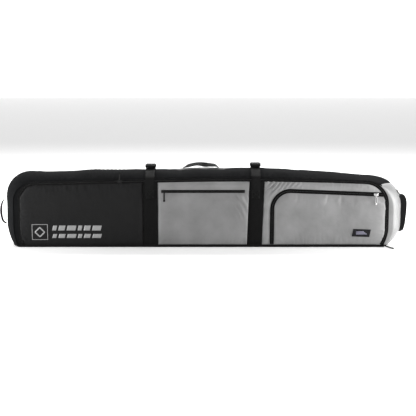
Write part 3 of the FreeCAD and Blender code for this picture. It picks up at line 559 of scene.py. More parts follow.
def arch_path(step=STEP):
    """The right pocket zip's line: up, round and gently down to the right."""
    centre = np.array([ARCH_X + ARCH_RADIUS, ARCH_TOP - ARCH_RADIUS])
    climb = Outline.straight((ARCH_X, SEAT + 0.004), (ARCH_X, centre[1]), (-1, 0), step)
    bend = Outline.arc(centre, ARCH_RADIUS, math.pi, math.pi / 2 - ARCH_SLOPE, step)
    crown = bend[0][-1]
    drop = (ARCH_END + 0.012 - crown[0]) * math.tan(ARCH_SLOPE)
    run = Outline.straight(crown, (ARCH_END + 0.012, crown[1] - drop),
                           (math.sin(ARCH_SLOPE), math.cos(ARCH_SLOPE)), step)
    return chain((climb, bend, run))


ARCH_POINTS, ARCH_OUT = arch_path()


def distance_to(points, line):
    """Distance of every point from a line of points, in the front view."""
    flat = points.reshape(-1, 2)
    best = np.full(len(flat), 9.0)
    for start, end in zip(line[:-1], line[1:]):
        along = end - start
        t = np.clip(((flat - start) @ along) / (along @ along), 0, 1)
        best = np.minimum(best, np.linalg.norm(flat - start - t[:, None] * along, axis=1))
    return best.reshape(points.shape[:-1])


PANELS = {
    "left_front_panel": (-ZIP_LEFT + GAP, BAND_1[0], BLACK_PANEL, "black_panel_fabric"),
    "left_divider_band": (BAND_1[0], BAND_1[1], DIVIDER, "divider_fabric"),
    "middle_front_panel": (BAND_1[1], BAND_2[0], GREY, "grey_fabric"),
    "right_divider_band": (BAND_2[0], BAND_2[1], DIVIDER, "divider_fabric"),
    "right_front_panel": (BAND_2[1], ZIP_RIGHT - GAP, SILVER_PAINTED_LIGHT, "silver_fabric"),
}
PANEL_THICK = 0.005


def panel_grid(start, end):
    """Front-view points of one panel; the columns crowd together round its corners."""
    columns = [x for x in zip_line.points[:, 0] if start + 0.002 < x < end - 0.002]
    rows = int((ZIP_TOP - SEAT) / (STEP * 0.9))
    columns = np.unique(np.array([start] + columns + [end]))
    tops = zip_line.top(np.clip(columns, -ZIP_LEFT + 1e-5, ZIP_RIGHT - 1e-5)) - GAP
    tops = np.where(columns < -ZIP_LEFT + 0.001, zip_line.left_z, tops)
    v = np.linspace(0, 1, rows)[:, None]
    z = SEAT + GAP + (tops[None, :] - SEAT - GAP) * v
    x = np.repeat(columns[None, :], rows, axis=0)
    return np.stack([x, z], axis=-1)


def held_points(name, flat):
    """Where a panel's cloth can't puff out: its borders and along its pocket zip."""
    rows, columns = flat.shape[:2]
    held = np.zeros((rows, columns), bool)
    held[0], held[-1], held[:, 0], held[:, -1] = True, True, True, True
    if name == "middle_front_panel":
        near_z = np.abs(flat[..., 1] - MIDDLE_ZIP_Z) < 0.006
        held |= near_z & (flat[..., 0] > MIDDLE_ZIP[0]) & (flat[..., 0] < MIDDLE_ZIP[1])
    if name == "right_front_panel":
        held |= distance_to(flat, ARCH_POINTS) < 0.007
    return held


def distance_to_held(flat, held):
    """Distance of every point of a panel from its nearest held point, in the front view."""
    distance = np.full(flat.shape[:2], 9.0)
    points = flat.reshape(-1, 2)
    anchors = points[held.reshape(-1)][::2]
    for start in range(0, len(points), 2000):
        chunk = points[start:start + 2000]
        gaps = np.linalg.norm(chunk[:, None, :] - anchors[None, :, :], axis=2)
        distance.reshape(-1)[start:start + 2000] = gaps.min(axis=1)
    return distance


def make_panel(name):
    """One padded panel in its plain form, before the cloth is let loose."""
    flat = panel_grid(*PANELS[name][:2])
    held = held_points(name, flat)
    distance = distance_to_held(flat, held)
    lift = 0.0016 if "band" in name else 0.0034
    rise = lift * (1 - np.exp(-distance / 0.016))
    x, z = flat[..., 0], flat[..., 1]
    obj = slab(name + "_cloth", settle(layered(x, FACE - rise, z)),
               settle(layered(x, FACE + PANEL_THICK, z)))
    held_ids = [int(i) for i in np.nonzero(held.reshape(-1))[0]]
    count = obj["front_count"]
    obj["held"] = held_ids + list(range(count, 2 * count))
    return obj, flat, distance


# ---- cloth ------------------------------------------------------------------------------

CLOTH_FRAMES = 20


def loosen(obj, pressure, slack):
    """Give a closed piece a cloth modifier that swells it between its held points."""
    group = obj.vertex_groups.new(name="held")
    group.add(list(obj["held"]), 1.0, "REPLACE")
    cloth = obj.modifiers.new("cloth", "CLOTH")
    settings = cloth.settings
    settings.quality = 6
    settings.mass = 0.12
    settings.tension_stiffness = 25
    settings.compression_stiffness = 25
    settings.shear_stiffness = 8
    settings.bending_stiffness = 0.15
    settings.vertex_group_mass = "held"
    settings.use_pressure = True
    settings.uniform_pressure_force = pressure
    settings.shrink_min = -slack
    settings.effector_weights.gravity = 0
    cloth.collision_settings.use_collision = False
    cloth.point_cache.frame_start = 1
    cloth.point_cache.frame_end = CLOTH_FRAMES


def run_cloth(objects):
    scene.frame_start, scene.frame_end = 1, CLOTH_FRAMES
    for number in range(1, CLOTH_FRAMES + 1):
        scene.frame_set(number)
    graph = bpy.context.evaluated_depsgraph_get()
    for obj in objects:
        swollen = obj.evaluated_get(graph).to_mesh()
        points = np.zeros(len(swollen.vertices) * 3, np.float32)
        swollen.vertices.foreach_get("co", points)
        obj.evaluated_get(graph).to_mesh_clear()
        obj.modifiers.clear()
        obj.vertex_groups.clear()
        obj.data.vertices.foreach_set("co", points)
        obj.data.update()
    scene.frame_set(1)


def vertices_of(obj):
    points = np.zeros(len(obj.data.vertices) * 3, np.float32)
    obj.data.vertices.foreach_get("co", points)
    return points.reshape(-1, 3).astype(float)


def put_vertices(obj, points):
    obj.data.vertices.foreach_set("co", np.asarray(points, np.float32).reshape(-1))
    obj.data.update()


def soft_cap(value, limit):
    """Follows value while it is small and levels off before the limit."""
    return limit * np.tanh(value / limit)


def dress_panel(name, obj, flat, distance):
    """Cap the swelling, then press in the seams and raise the small folds beside them."""
    points = vertices_of(obj)
    count = obj["front_count"]
    x, z = flat[..., 0].reshape(-1), flat[..., 1].reshape(-1)
    away = distance.reshape(-1)
    limit = 0.0026 if "band" in name else BULGE
    bulge = soft_cap(np.maximum(FACE - points[:count, 1], 0), limit)
    edge_l = np.abs(x - PANELS[name][0])
    edge_r = np.abs(x - PANELS[name][1])
    edge_b = z - SEAT
    edge_t = zip_line.top(x) - z
    size = 0.0009 if "band" in name else 0.0020
    folds = (puckers(z, edge_l, 0.016, 0.020, 1) + puckers(z, edge_r, 0.014, 0.022, 2)
             + puckers(x, edge_b, 0.019, 0.016, 3) + puckers(x, edge_t, 0.017, 0.022, 4))
    if name == "middle_front_panel":
        folds += puckers(x, z - MIDDLE_ZIP_Z, 0.013, 0.014, 6) * 0.8
        near_strap = smooth((x - 0.10) / 0.06) * smooth((z - 0.10) / 0.05) * smooth((0.26 - z) / 0.04)
        folds += 1.3 * near_strap * np.sin((x * 0.85 + z * 0.5) / 0.021 * 2 * math.pi
                                           + 3 * value_noise(x, z, 0.06, 9))
    if name == "right_front_panel":
        corner = smooth((0.43 - x) / 0.12) * smooth((z - 0.215) / 0.02)
        folds += 3.4 * corner * np.sin((x - z * 0.9) / 0.019 * 2 * math.pi + 2 * value_noise(x, z, 0.05, 8))
        run = distance_to(flat.reshape(-1, 2), ARCH_POINTS)
        folds += puckers(x + z, run, 0.015, 0.012, 7) * 0.8
    soft = smooth((away - 0.004) / 0.012)
    broad = lumps(x, z, 0.085, 11) * 0.0020 * np.clip(away / 0.03, 0, 1)
    bulge = bulge * smooth((away - 0.002) / 0.010) + folds * size * soft + broad
    groove = 0.0012 * np.exp(-(away / 0.0022) ** 2)
    points[:count, 1] = FACE - np.maximum(bulge - groove, -0.0012)
    put_vertices(obj, points)
    subdivide(obj)


panels = {name: make_panel(name) for name in PANELS}
for name, parts in panels.items():
    loosen(parts[0], 4.0, 0.006 if "band" in name else 0.012)


# ---- gussets ----------------------------------------------------------------------------

LIP_STEPS = 5
DOME_STEPS = 26


def gusset_points(starts, ends, step=STEP):
    """Grid over the gusset: from the zip line, over the seam and the dome, to the rear seam."""
    rows = max(8, int(np.max(ends - starts) / step))
    t = np.linspace(0, 1, rows)
    flat = math.sqrt(DOME ** 2 - REAR ** 2)
    columns, along = [], []
    for k in range(LIP_STEPS + DOME_STEPS):
        s = starts[k] + (ends[k] - starts[k]) * t
        point, out = seam.at(s)
        y = FACE
        if k < LIP_STEPS:
            inner = read_off(s, seam.s, zip_beside_seam.points)
            point = inner + out * GAP + (point - inner) * k / LIP_STEPS
        else:
            y = FACE + (REAR - FACE) * (k - LIP_STEPS) / (DOME_STEPS - 1)
            point = point + out * ((math.sqrt(DOME ** 2 - y ** 2) - flat) * bulge_share(s))[:, None]
        columns.append(layered(point[:, 0], y, point[:, 1]))
        along.append(s)
    return np.stack(columns, axis=1), np.stack(along, axis=1)


def gusset_normals(grid):
    down = np.gradient(grid, axis=0)
    across = np.gradient(grid, axis=1)
    normal = np.cross(across, down)
    normal /= np.linalg.norm(normal, axis=2, keepdims=True) + 1e-12
    middle = np.array([0, 0, 0.12])
    flip = np.sign(np.sum(normal * (grid - middle), axis=2, keepdims=True))
    return normal * np.where(flip == 0, 1, flip)


def make_gusset(name, starts, ends, material, amount, seed):
    grid, s = gusset_points(starts, ends)
    normal = gusset_normals(grid)
    across = np.linalg.norm(np.diff(grid, axis=1), axis=2)
    u = np.concatenate([np.zeros((len(grid), 1)), np.cumsum(across, axis=1)], axis=1)
    seam_u = u[:, LIP_STEPS:LIP_STEPS + 1]
    from_front, from_rear = u - seam_u, u[:, -1:] - u
    lip = u < seam_u
    nearest = np.minimum(np.abs(from_front), from_rear)
    middle = smooth(nearest / 0.05) * ~lip
    body = lumps(s, u, 0.11, seed) * 0.0026 * middle
    body = body + lumps(s, u * 0.6, 0.035, seed + 3) * 0.0010 * middle
    folds = puckers(s, from_front, 0.021, 0.020, seed + 1) + puckers(s, from_rear, 0.020, 0.022, seed + 2)
    body += folds * 0.0016 * amount * np.clip(nearest / 0.006, 0, 1)
    if name == "top_gusset":
        for off, x_start in ((0.016, -0.34), (0.030, -0.30)):
            shown = smooth((grid[..., 0] - x_start) / 0.02)
            body -= 0.0011 * shown * np.exp(-((from_front - off) / 0.0022) ** 2)
        gathers = smooth((grid[..., 0] + 0.50) / 0.05) * smooth((-0.30 - grid[..., 0]) / 0.05)
        ripple = np.sin(grid[..., 0] / 0.017 * 2 * math.pi)
        body += 0.0016 * gathers * ripple * np.clip(nearest / 0.02, 0, 1)
    groove = 0.0004 if name == "right_end_panel" else 0.0014
    body -= groove * np.exp(-(from_front / 0.0030) ** 2)
    bottom = np.minimum(s - starts, ends - s)
    body -= 0.0012 * np.exp(-(bottom / 0.0035) ** 2)
    body = np.where(lip, body * 0.05 + 0.0003 * np.sin(u / np.maximum(seam_u, 1e-4) * math.pi), body)
    obj = slab(name + "_cloth", settle(grid + normal * body[..., None]), settle(grid - normal * 0.004))
    subdivide(obj)
    finish_piece(obj, "bag_body", material, (name,))


def make_gussets():
    """Three stretches of the gusset; the black top runs out as a wedge over the silver end."""
    columns = LIP_STEPS + DOME_STEPS
    left_split = np.full(columns, seam.s_at_x(edge("top_gusset", LOW, "x") + GAP))
    wedge = smooth(np.arange(columns) / (columns * 0.5))
    right_split = seam.s_at_angle(62) * (1 - wedge) + seam.s_at_angle(42) * wedge
    make_gusset("left_end_gusset", np.zeros(columns), left_split + SEAM_OVERLAP, BLACK,
                1.0, 21)
    make_gusset("top_gusset", left_split, right_split, BLACK, 1.4, 31)
    make_gusset("right_end_panel", right_split - SEAM_OVERLAP, np.full(columns, seam.length), SILVER_PAINTED_LIGHT,
                0.6, 41)


make_gussets()


def make_back():
    inset = (SEAM_X + edge("back_panel", LOW, "x")) * BACK_INSET_SHARE
    line = Outline(SEAM_X - inset, SEAM_X - inset, SEAM_TOP - inset, SEAM_CORNERS, SEAT)
    columns = [x for x in line.points[:, 0] if abs(x) < SEAM_X - inset - 0.001][::2]
    columns = np.unique(np.array([line.points[0, 0]] + columns + [line.points[-1, 0]]))
    tops = line.top(columns)
    tops[0] = line.left_z
    x, z, _ = raised_grid(columns, tops, SEAT, int((SEAM_TOP - SEAT) / (STEP * 1.6)))
    to_top, to_low = tops[None, :] - z, z - SEAT
    to_end = SEAM_X - np.abs(x)
    near = np.minimum(np.minimum(to_top, to_low), to_end)
    bulge = 0.0050 * (1 - np.exp(-np.maximum(near, 0) / 0.022))
    bulge = bulge + lumps(x, z, 0.12, 51) * 0.0012 * smooth(near / 0.04)
    bulge += 0.0010 * (puckers(x, to_top, 0.022, 0.02, 52) + puckers(x, to_low, 0.021, 0.02, 53)
                       + puckers(z, to_end, 0.02, 0.02, 54)) * np.clip(near / 0.008, 0, 1)
    obj = slab("back_panel_cloth", settle(layered(x, REAR + bulge, z)),
               settle(layered(x, REAR - PANEL_THICK, z)))
    subdivide(obj)
    finish_piece(obj, "bag_body", BLACK, ("back_panel",))


make_back()


def make_base():
    """The base follows the settled ends; its lower edge is rounded and its top lies under the panels."""
    thick = edge("base_gusset", HIGH, "z")
    angle = math.asin(REAR / DOME)
    turns = np.linspace(-angle, angle, 22)
    centre = SEAM_X - (DOME - RISE)
    right = np.stack([centre + DOME * np.cos(turns), DOME * np.sin(turns)], axis=-1)
    left = -right
    sides = np.linspace(-1, 1, 150)[1:-1] * right[0, 0]
    loop = np.concatenate([right, np.stack([-sides, np.full_like(sides, REAR)], axis=-1), left,
                           np.stack([sides, np.full_like(sides, FACE)], axis=-1)])
    levels = ((0.0, 0.012), (0.0006, 0.004), (0.003, 0.0008), (0.006, 0.0),
              (thick - 0.001, 0.0), (thick, 0.002))
    rings = []
    for z, inset in levels:
        size = np.array([1 - inset / END_X, 1 - inset / REAR])
        wave = 0.0005 * value_noise(loop[:, 0], loop[:, 1], 0.05, 61)
        ring = layered(loop[:, 0] * size[0], loop[:, 1] * size[1], z)
        ring[:, 1] += wave * np.sign(ring[:, 1]) * (inset == 0)
        rings.append(ring)
    obj = tube("base_gusset_cloth", settle(np.array(rings)))
    finish_piece(obj, "bag_body", BASE, ("base_gusset",))


make_base()


def make_hinge_strip():
    """Fabric that carries the cover on the front bottom edge."""
    xs = np.linspace(-ZIP_LEFT + 0.012, ZIP_RIGHT - 0.030, 220)
    heights = np.linspace(SEAT - 0.0045, SEAT + 0.0018, 7)
    fronts = []
    for z in heights:
        y = FACE - 0.0013 - 0.0006 * np.sin((z - heights[0]) / 0.010 * math.pi)
        fronts.append(layered(xs, y, z))
    front = np.array(fronts)
    rear = front + np.array([0, 0.0009, 0])
    obj = slab("hinge_strip", settle(front), settle(rear))
    obj.data.materials.append(BASE)
    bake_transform(obj)


make_hinge_strip()


# ---- main zip ---------------------------------------------------------------------------

def front_frames(points, out):
    """3-D path, sideways direction and outward direction for a strip lying on the front face."""
    path = settle(layered(points[:, 0], FACE, points[:, 1]))
    ahead = directions(path)
    face_out = tiled((0, -1, 0), len(points))
    side = np.cross(face_out, ahead)
    side *= np.sign(np.sum(side * layered(out[:, 0], 0.0, out[:, 1]), axis=1, keepdims=True))
    return path, ahead, side, face_out


def resample(points, out, spacing):
    s = distances(points)
    t = np.arange(0, s[-1], spacing)
    spot = read_off(t, s, points)
    turn = read_off(t, s, out)
    return spot, turn / np.linalg.norm(turn, axis=1, keepdims=True)


ZIP_TRIM = 3
STITCH_SPACING = 0.0034


def stitch_row(name, points, out, offset, height, body, lift=None):
    spot, turn = resample(points + out * offset, out, STITCH_SPACING)
    path, ahead, _, up = front_frames(spot[ZIP_TRIM:-ZIP_TRIM], turn[ZIP_TRIM:-ZIP_TRIM])
    path = path + up * height
    if lift is not None:
        path[:, 1] = [min(front_y(lift, p[0], p[2], p[1]) - 0.0002, p[1] + 0.002) for p in path]
    obj = copies(name, path, ahead, up, (STITCH_SPACING * 0.72, 0.0006, 0.0005))
    finish_piece(obj, body, THREAD)


MEETING = 0.00008


def make_main_zip():
    for side, body, sign in (("cover", "front_cover", -1), ("body", "bag_body", 1)):
        path, ahead, across, up = front_frames(zip_line.points, zip_line.out)
        middle = path + across * sign * (TAPE / 2 + MEETING / 2) + up * (TAPE_THICK * 0.55 + 0.0004)
        tape = sweep(f"main_zip_tape_{side}_cloth", middle, across, up,
                     round_outline(TAPE - MEETING, TAPE_THICK))
        finish_piece(tape, body, ZIP_TAPE, (f"main_zip_tape_{side}",))
        spot, turn = resample(zip_line.points, zip_line.out, 0.0030)
        shift = 0.0015 if side == "body" else 0.0
        path, ahead, across, up = front_frames(spot[ZIP_TRIM:-ZIP_TRIM], turn[ZIP_TRIM:-ZIP_TRIM])
        centres = path + across * sign * 0.0014 + up * (TAPE_THICK + 0.0008) + ahead * shift
        coil = copies(f"main_zip_coil_{side}_teeth", centres, across, up, (0.0027, 0.0015, 0.0013), 0.6)
        finish_piece(coil, body, COIL, (f"main_zip_coil_{side}",))
        for row, offset in enumerate((0.0042, TAPE - 0.0014)):
            stitch_row(f"main_zip_stitches_{side}_{row + 1}", zip_line.points, zip_line.out, sign * offset,
                       TAPE_THICK + 0.0007, body)


make_main_zip()


# ---- seam piping ------------------------------------------------------------------------

def make_seam_piping():
    """Thin piping where the gusset meets the front lip and the back panel, silver round the right end."""
    circle = [(0.0016 * math.cos(a), 0.0016 * math.sin(a)) for a in np.linspace(0, 2 * math.pi, 9)[:-1]]
    split = int(np.searchsorted(seam.s, seam.s_at_angle(58)))
    stretches = (("black", slice(0, split + 1), BLACK, "black_fabric"),
                 ("silver", slice(split, None), SILVER_PAINTED_LIGHT, "silver_fabric"))
    for side, y in (("front", FACE - 0.0004), ("rear", REAR + 0.0004)):
        for colour, part, material, slot in stretches:
            if (side, colour) == ("front", "silver"):
                continue
            points, out = seam.points[part], seam.out[part]
            path = settle(layered(points[:, 0], y, points[:, 1]))
            across = layered(out[:, 0], 0.0, out[:, 1])
            piping = sweep(f"{side}_seam_piping_{colour}", path, across, tiled((0, -1, 0), len(path)), circle)
            finish_piece(piping, "bag_body", material)


make_seam_piping()


# ---- front cover after the cloth has run ------------------------------------------------

run_cloth([parts[0] for parts in panels.values()])
for name, (obj, flat, distance) in panels.items():
    dress_panel(name, obj, flat, distance)
    finish_piece(obj, "front_cover", PANELS[name][2], (name,))

panel_surface = {name: surface_of(parts[0]) for name, parts in panels.items()}


def make_band_seams():
    """Twin rows of stitching beside the divider bands."""
    for band, (x0, x1) in (("left", BAND_1), ("right", BAND_2)):
        tree = panel_surface[f"{band}_divider_band"]
        for index, x in enumerate((x0 + 0.003, x1 - 0.003)):
            points, out = Outline.straight((x, SEAT + 0.006), (x, zip_line.top(x) - 0.010), (1, 0), STEP)
            stitch_row(f"{band}_band_stitches_{index + 1}", points, out, 0, 0.0010, "front_cover", tree)


make_band_seams()


# ---- pocket zips ------------------------------------------------------------------------

def make_pocket_zip(name, points, out, half):
    body = "front_cover"
    path, _, across, up = front_frames(points, out)
    tape = sweep(f"{name}_tape", path + up * 0.0007, across, up, round_outline(half * 2, 0.0012))
    finish_piece(tape, body, ZIP_TAPE, (name,))
    for index, sign in enumerate((-1, 1)):
        middle = path + across * sign * half * 0.72 + up * 0.0014
        ridge = sweep(f"{name}_welt_{index + 1}", middle, across, up, round_outline(half * 0.5, 0.0014))
        finish_piece(ridge, body, ZIP_TAPE)
        stitch_row(f"{name}_stitches_{index + 1}", points, out, sign * half * 0.86, 0.0021, body)
    path, _, across, up = front_frames(*resample(points, out, 0.0026))
    centres = path + up * 0.0016
    centres += across * (np.arange(len(centres)) % 2 * 2 - 1)[:, None] * 0.0005
    coil = copies(f"{name}_teeth", centres, across, up, (0.0034, 0.0015, 0.0014), 0.6)
    finish_piece(coil, body, COIL)


def make_pocket_zips():
    start, end = [(x, MIDDLE_ZIP_Z) for x in MIDDLE_ZIP]
    points, out = Outline.straight(start, end, (0, 1), STEP)
    make_pocket_zip("middle_pocket_zip", points, out, 0.006)
    make_pocket_zip("right_pocket_zip", ARCH_POINTS, ARCH_OUT, 0.0085)


make_pocket_zips()


# ---- sliders and pulls ------------------------------------------------------------------

def box_mesh(name, low, high, bevel):
    low, high = Vector(low), Vector(high)
    work = bmesh.new()
    bmesh.ops.create_cube(work, size=1.0)
    for vertex in work.verts:
        vertex.co = Vector(((low[i] + high[i]) / 2 + vertex.co[i] * (high[i] - low[i]) for i in range(3)))
    bmesh.ops.bevel(work, geom=list(work.edges), offset=bevel, segments=3, profile=0.6, affect="EDGES")
    mesh = bpy.data.meshes.new(name)
    work.to_mesh(mesh)
    work.free()
    mesh.polygons.foreach_set("use_smooth", [True] * len(mesh.polygons))
    obj = bpy.data.objects.new(name, mesh)
    scene.collection.objects.link(obj)
    return obj


def ring_mesh(name, radius, wire, width):
    """A round eye whose axis lies along X, as wide as the pull it belongs to."""
    outline = round_outline(width, wire)
    path, sides, ups = [], [], []
    for turn in np.linspace(0, 2 * math.pi, 21):
        out = np.array([0, math.cos(turn), math.sin(turn)])
        path.append(out * radius)
        sides.append(np.array([1.0, 0, 0]))
        ups.append(out)
    return sweep(name, path, sides, ups, outline)


def make_slider(name, material):
    """A cast slider with two flared wings and a bridge for its pull."""
    low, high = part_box(name)
    middle = (low + high) / 2
    deck = high.y - 0.0028
    parts = [box_mesh(name + "_deck", (low.x + 0.001, deck, middle.z - 0.0046),
                      (high.x - 0.001, high.y, middle.z + 0.0046), 0.0009)]
    for sign in (-1, 1):
        wing = middle.z + sign * 0.0038
        parts.append(box_mesh(name + "_wing", (middle.x - 0.001, deck + 0.0002, wing - 0.0018),
                              (high.x - 0.0004, high.y, wing + 0.0018), 0.0009))
    bridge = 0.006
    for sign in (-1, 1):
        parts.append(box_mesh(name + "_post", (middle.x + sign * bridge - 0.0008, low.y, middle.z - 0.0013),
                              (middle.x + sign * bridge + 0.0008, deck + 0.0005, middle.z + 0.0013), 0.0004))
    parts.append(box_mesh(name + "_bar", (middle.x - bridge, low.y, middle.z - 0.0012),
                          (middle.x + bridge, low.y + 0.0013, middle.z + 0.0012), 0.0004))
    finish_piece(join(name + "_cast", parts), name, material, (name,))


def make_pull(name, tilt, frame_material, insert_material, flare=1.0):
    """A slim moulded pull: an eye, dark shoulders, a ribbed middle and a rounded tip."""
    joint = [j for j in frame["joints"] if j["child"] == name][0]
    pivot = Vector(joint["pos_m"])
    length, width, thick = 0.042, 0.0066, 0.0028
    parts = [ring_mesh(name + "_eye", 0.0030, 0.0014, width)]
    parts.append(box_mesh(name + "_neck", (-width / 2, -thick / 2, -0.0085),
                          (width / 2, thick / 2, -0.0030), 0.0007))
    parts.append(box_mesh(name + "_tip", (-width / 2 * flare, -thick / 2, -length),
                          (width / 2 * flare, thick / 2, -length + 0.0075), 0.0009))
    for sign in (-1, 1):
        parts.append(box_mesh(name + "_rail", (sign * width * 0.36 - 0.0009, -thick * 0.42, -length + 0.004),
                              (sign * width * 0.36 + 0.0009, thick * 0.42, -0.006), 0.0004))
    outer = join(name + "_frame", parts)
    insert = box_mesh(name + "_insert", (-width * 0.3, -thick * 0.3, -length + 0.006),
                      (width * 0.3, thick * 0.3, -0.007), 0.0004)
    for obj, material in ((outer, frame_material), (insert, insert_material)):
        obj.rotation_euler = (math.radians(tilt), 0, 0)
        obj.location = pivot
        finish_piece(obj, name, material, (name,) if obj is outer else ())


make_slider("main_zip_slider", DARK_METAL)
make_slider("middle_pocket_slider", DARK_METAL)
make_slider("right_pocket_slider", BRIGHT_METAL)
make_pull("main_zip_pull", 155, PULL_BLACK, COIL)
make_pull("middle_pocket_pull", 0, PULL_BLACK, COIL, flare=1.25)
make_pull("right_pocket_pull", 0, BRIGHT_METAL, PULL_GREY)


# ---- straps and buckles -----------------------------------------------------------------

STRAP_THICK = 0.0022
BUCKLE_BEVEL = 0.0009


def strap_path(side, sign):
    """Side-view line of a strap: up the face from its sewn point, over the edge, to the buckle."""
    low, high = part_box(f"{side}_strap_{'front' if sign < 0 else 'rear'}")
    face = abs(low.y if sign < 0 else high.y) - STRAP_THICK / 2
    radius = DOME + 0.0045 + STRAP_THICK / 2
    centre = high.z - (math.sqrt((radius + STRAP_THICK / 2) ** 2 - 0.030 ** 2))
    corner = centre + math.sqrt(radius ** 2 - face ** 2)
    ups = np.linspace(low.z, corner - 0.006, 22)
    line = [(sign * (face - 0.0014 * math.sin((z - low.z) / (corner - low.z) * math.pi)), z) for z in ups]
    for y in np.linspace(face * 0.985, 0.012, 22):
        line.append((sign * y, centre + math.sqrt(radius ** 2 - y ** 2)))
    return np.array(line)


def make_strap(side, sign):
    where = "front" if sign < 0 else "rear"
    body = "front_cover" if sign < 0 else "bag_body"
    low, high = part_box(f"{side}_strap_{where}")
    x = (low.x + high.x) / 2
    line = strap_path(side, sign)
    keep = np.linspace(0, len(line) - 1, 60)
    line = read_off(keep, np.arange(len(line)), line)
    path = layered(x, line[:, 0], line[:, 1])
    across = tiled((1, 0, 0), len(path))
    up = np.cross(across, directions(path))
    up *= np.sign(up[0, 1] * sign)
    rings = swept(path, across, up, round_outline(WEBBING, STRAP_THICK))
    # The lower end is folded to a point.
    point = 0.016
    for ring in rings:
        height = ring[:, 2] - low.z
        sideways = np.abs(ring[:, 0] - x) / (WEBBING / 2)
        ring[:, 2] = np.where(height < point, low.z + np.maximum(height, point * sideways), ring[:, 2])
    rings[..., 1] += 0.0005 * value_noise(rings[..., 2], rings[..., 0], 0.03, 71)
    strap = tube(f"{side}_strap_{where}_webbing", rings)
    finish_piece(strap, body, WEB, (f"{side}_strap_{where}",))
    # Box stitching holds the lower end on the band.
    box_low, box_high = low.z + 0.018, low.z + 0.048
    half = WEBBING / 2 - 0.004
    outlines = (((-half, box_low), (half, box_low)), ((half, box_low), (half, box_high)),
                ((half, box_high), (-half, box_high)), ((-half, box_high), (-half, box_low)),
                ((-half, box_low), (half, box_high)), ((half, box_low), (-half, box_high)))
    centres, aheads = [], []
    y = (low.y - 0.0001) if sign < 0 else (high.y + 0.0001)
    for start, end in outlines:
        start, end = np.array(start), np.array(end)
        count = int(np.linalg.norm(end - start) / 0.0034)
        direction = (end - start) / np.linalg.norm(end - start)
        for t in (np.arange(count) + 0.5) / count:
            spot = start + (end - start) * t
            centres.append((x + spot[0], y, spot[1]))
            aheads.append((direction[0], 0, direction[1]))
    ups = tiled((0, sign, 0), len(centres))
    stitches = copies(f"{side}_strap_{where}_stitches", centres, aheads, ups, (0.0025, 0.0007, 0.0006))
    finish_piece(stitches, body, THREAD)


def make_buckle_loop(side):
    """Webbing folded through the buckle's slots."""
    for part, body, sign in (("male", f"{side}_buckle_male", -1), ("female", "bag_body", 1)):
        low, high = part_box(f"{side}_buckle_{part}")
        x = (low.x + high.x) / 2
        bar_y = low.y + 0.0022 if sign < 0 else high.y - 0.0025
        middle = (low.z + high.z) / 2
        path, ups = [], []
        for turn in np.linspace(-0.5 * math.pi, 0.5 * math.pi, 12):
            out = np.array([0, sign * math.cos(turn), math.sin(turn)])
            path.append(np.array([x, bar_y, middle]) + out * (high.z - low.z + 0.0018) / 2)
            ups.append(out)
        inwards = np.array([0, -sign * 0.0065, -0.0022])
        path = [path[0] + inwards * 0.4] + path + [path[-1] + inwards]
        ups = [ups[0]] + ups + [ups[-1]]
        loop = sweep(f"{side}_buckle_{part}_loop", path, tiled((1, 0, 0), len(path)), ups,
                     round_outline(WEBBING - 0.002, 0.0020))
        finish_piece(loop, body, WEB)


def show_node(name, material):
    """A CAD node that is shown itself, with rounded edges and its own finish."""
    obj = frame["nodes"][name]
    obj.data.materials.clear()
    obj.data.materials.append(material)
    for polygon in obj.data.polygons:
        polygon.material_index = 0
    modifier = obj.modifiers.new("edges", "BEVEL")
    modifier.width = BUCKLE_BEVEL
    modifier.segments = 2
    modifier.limit_method = "ANGLE"


for side in ("left", "right"):
    make_strap(side, -1)
    make_strap(side, 1)
    make_buckle_loop(side)
    show_node(f"{side}_buckle_female", PLASTIC)
    show_node(f"{side}_buckle_male", PLASTIC)


# ---- handles ----------------------------------------------------------------------------

def ribbon(name, path, twists, width, body, nodes, thick=0.0024, foot=None):
    """Webbing along a path in the XZ plane; twists turn its flat side about the path."""
    path = np.asarray(path, float)
    ahead = directions(path)
    level = tiled((0, 1, 0), len(path))
    square = np.cross(ahead, level)
    turn = np.radians(np.asarray(twists, float))[:, None]
    sides = level * np.cos(turn) + square * np.sin(turn)
    ups = np.cross(ahead, sides)
    obj = sweep(name, path, sides, ups, round_outline(width, thick))
    subdivide(obj)
    if foot is None:
        finish_piece(obj, body, WEB, nodes)
        return
    obj.data.materials.append(WEB)
    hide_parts(*nodes)
    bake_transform(obj)


def curve_through(points, count):
    """A smooth line through a few points."""
    points = np.asarray(points, float)
    t = distances(points)
    where = np.linspace(0, t[-1], count)
    slopes = np.gradient(points, t, axis=0)
    result = []
    for w in where:
        k = min(max(int(np.searchsorted(t, w) - 1), 0), len(t) - 2)
        h = t[k + 1] - t[k]
        u = (w - t[k]) / h
        result.append((2 * u ** 3 - 3 * u ** 2 + 1) * points[k] + (u ** 3 - 2 * u ** 2 + u) * h * slopes[k]
                      + (-2 * u ** 3 + 3 * u ** 2) * points[k + 1] + (u ** 3 - u ** 2) * h * slopes[k + 1])
    return np.array(result), where / t[-1]


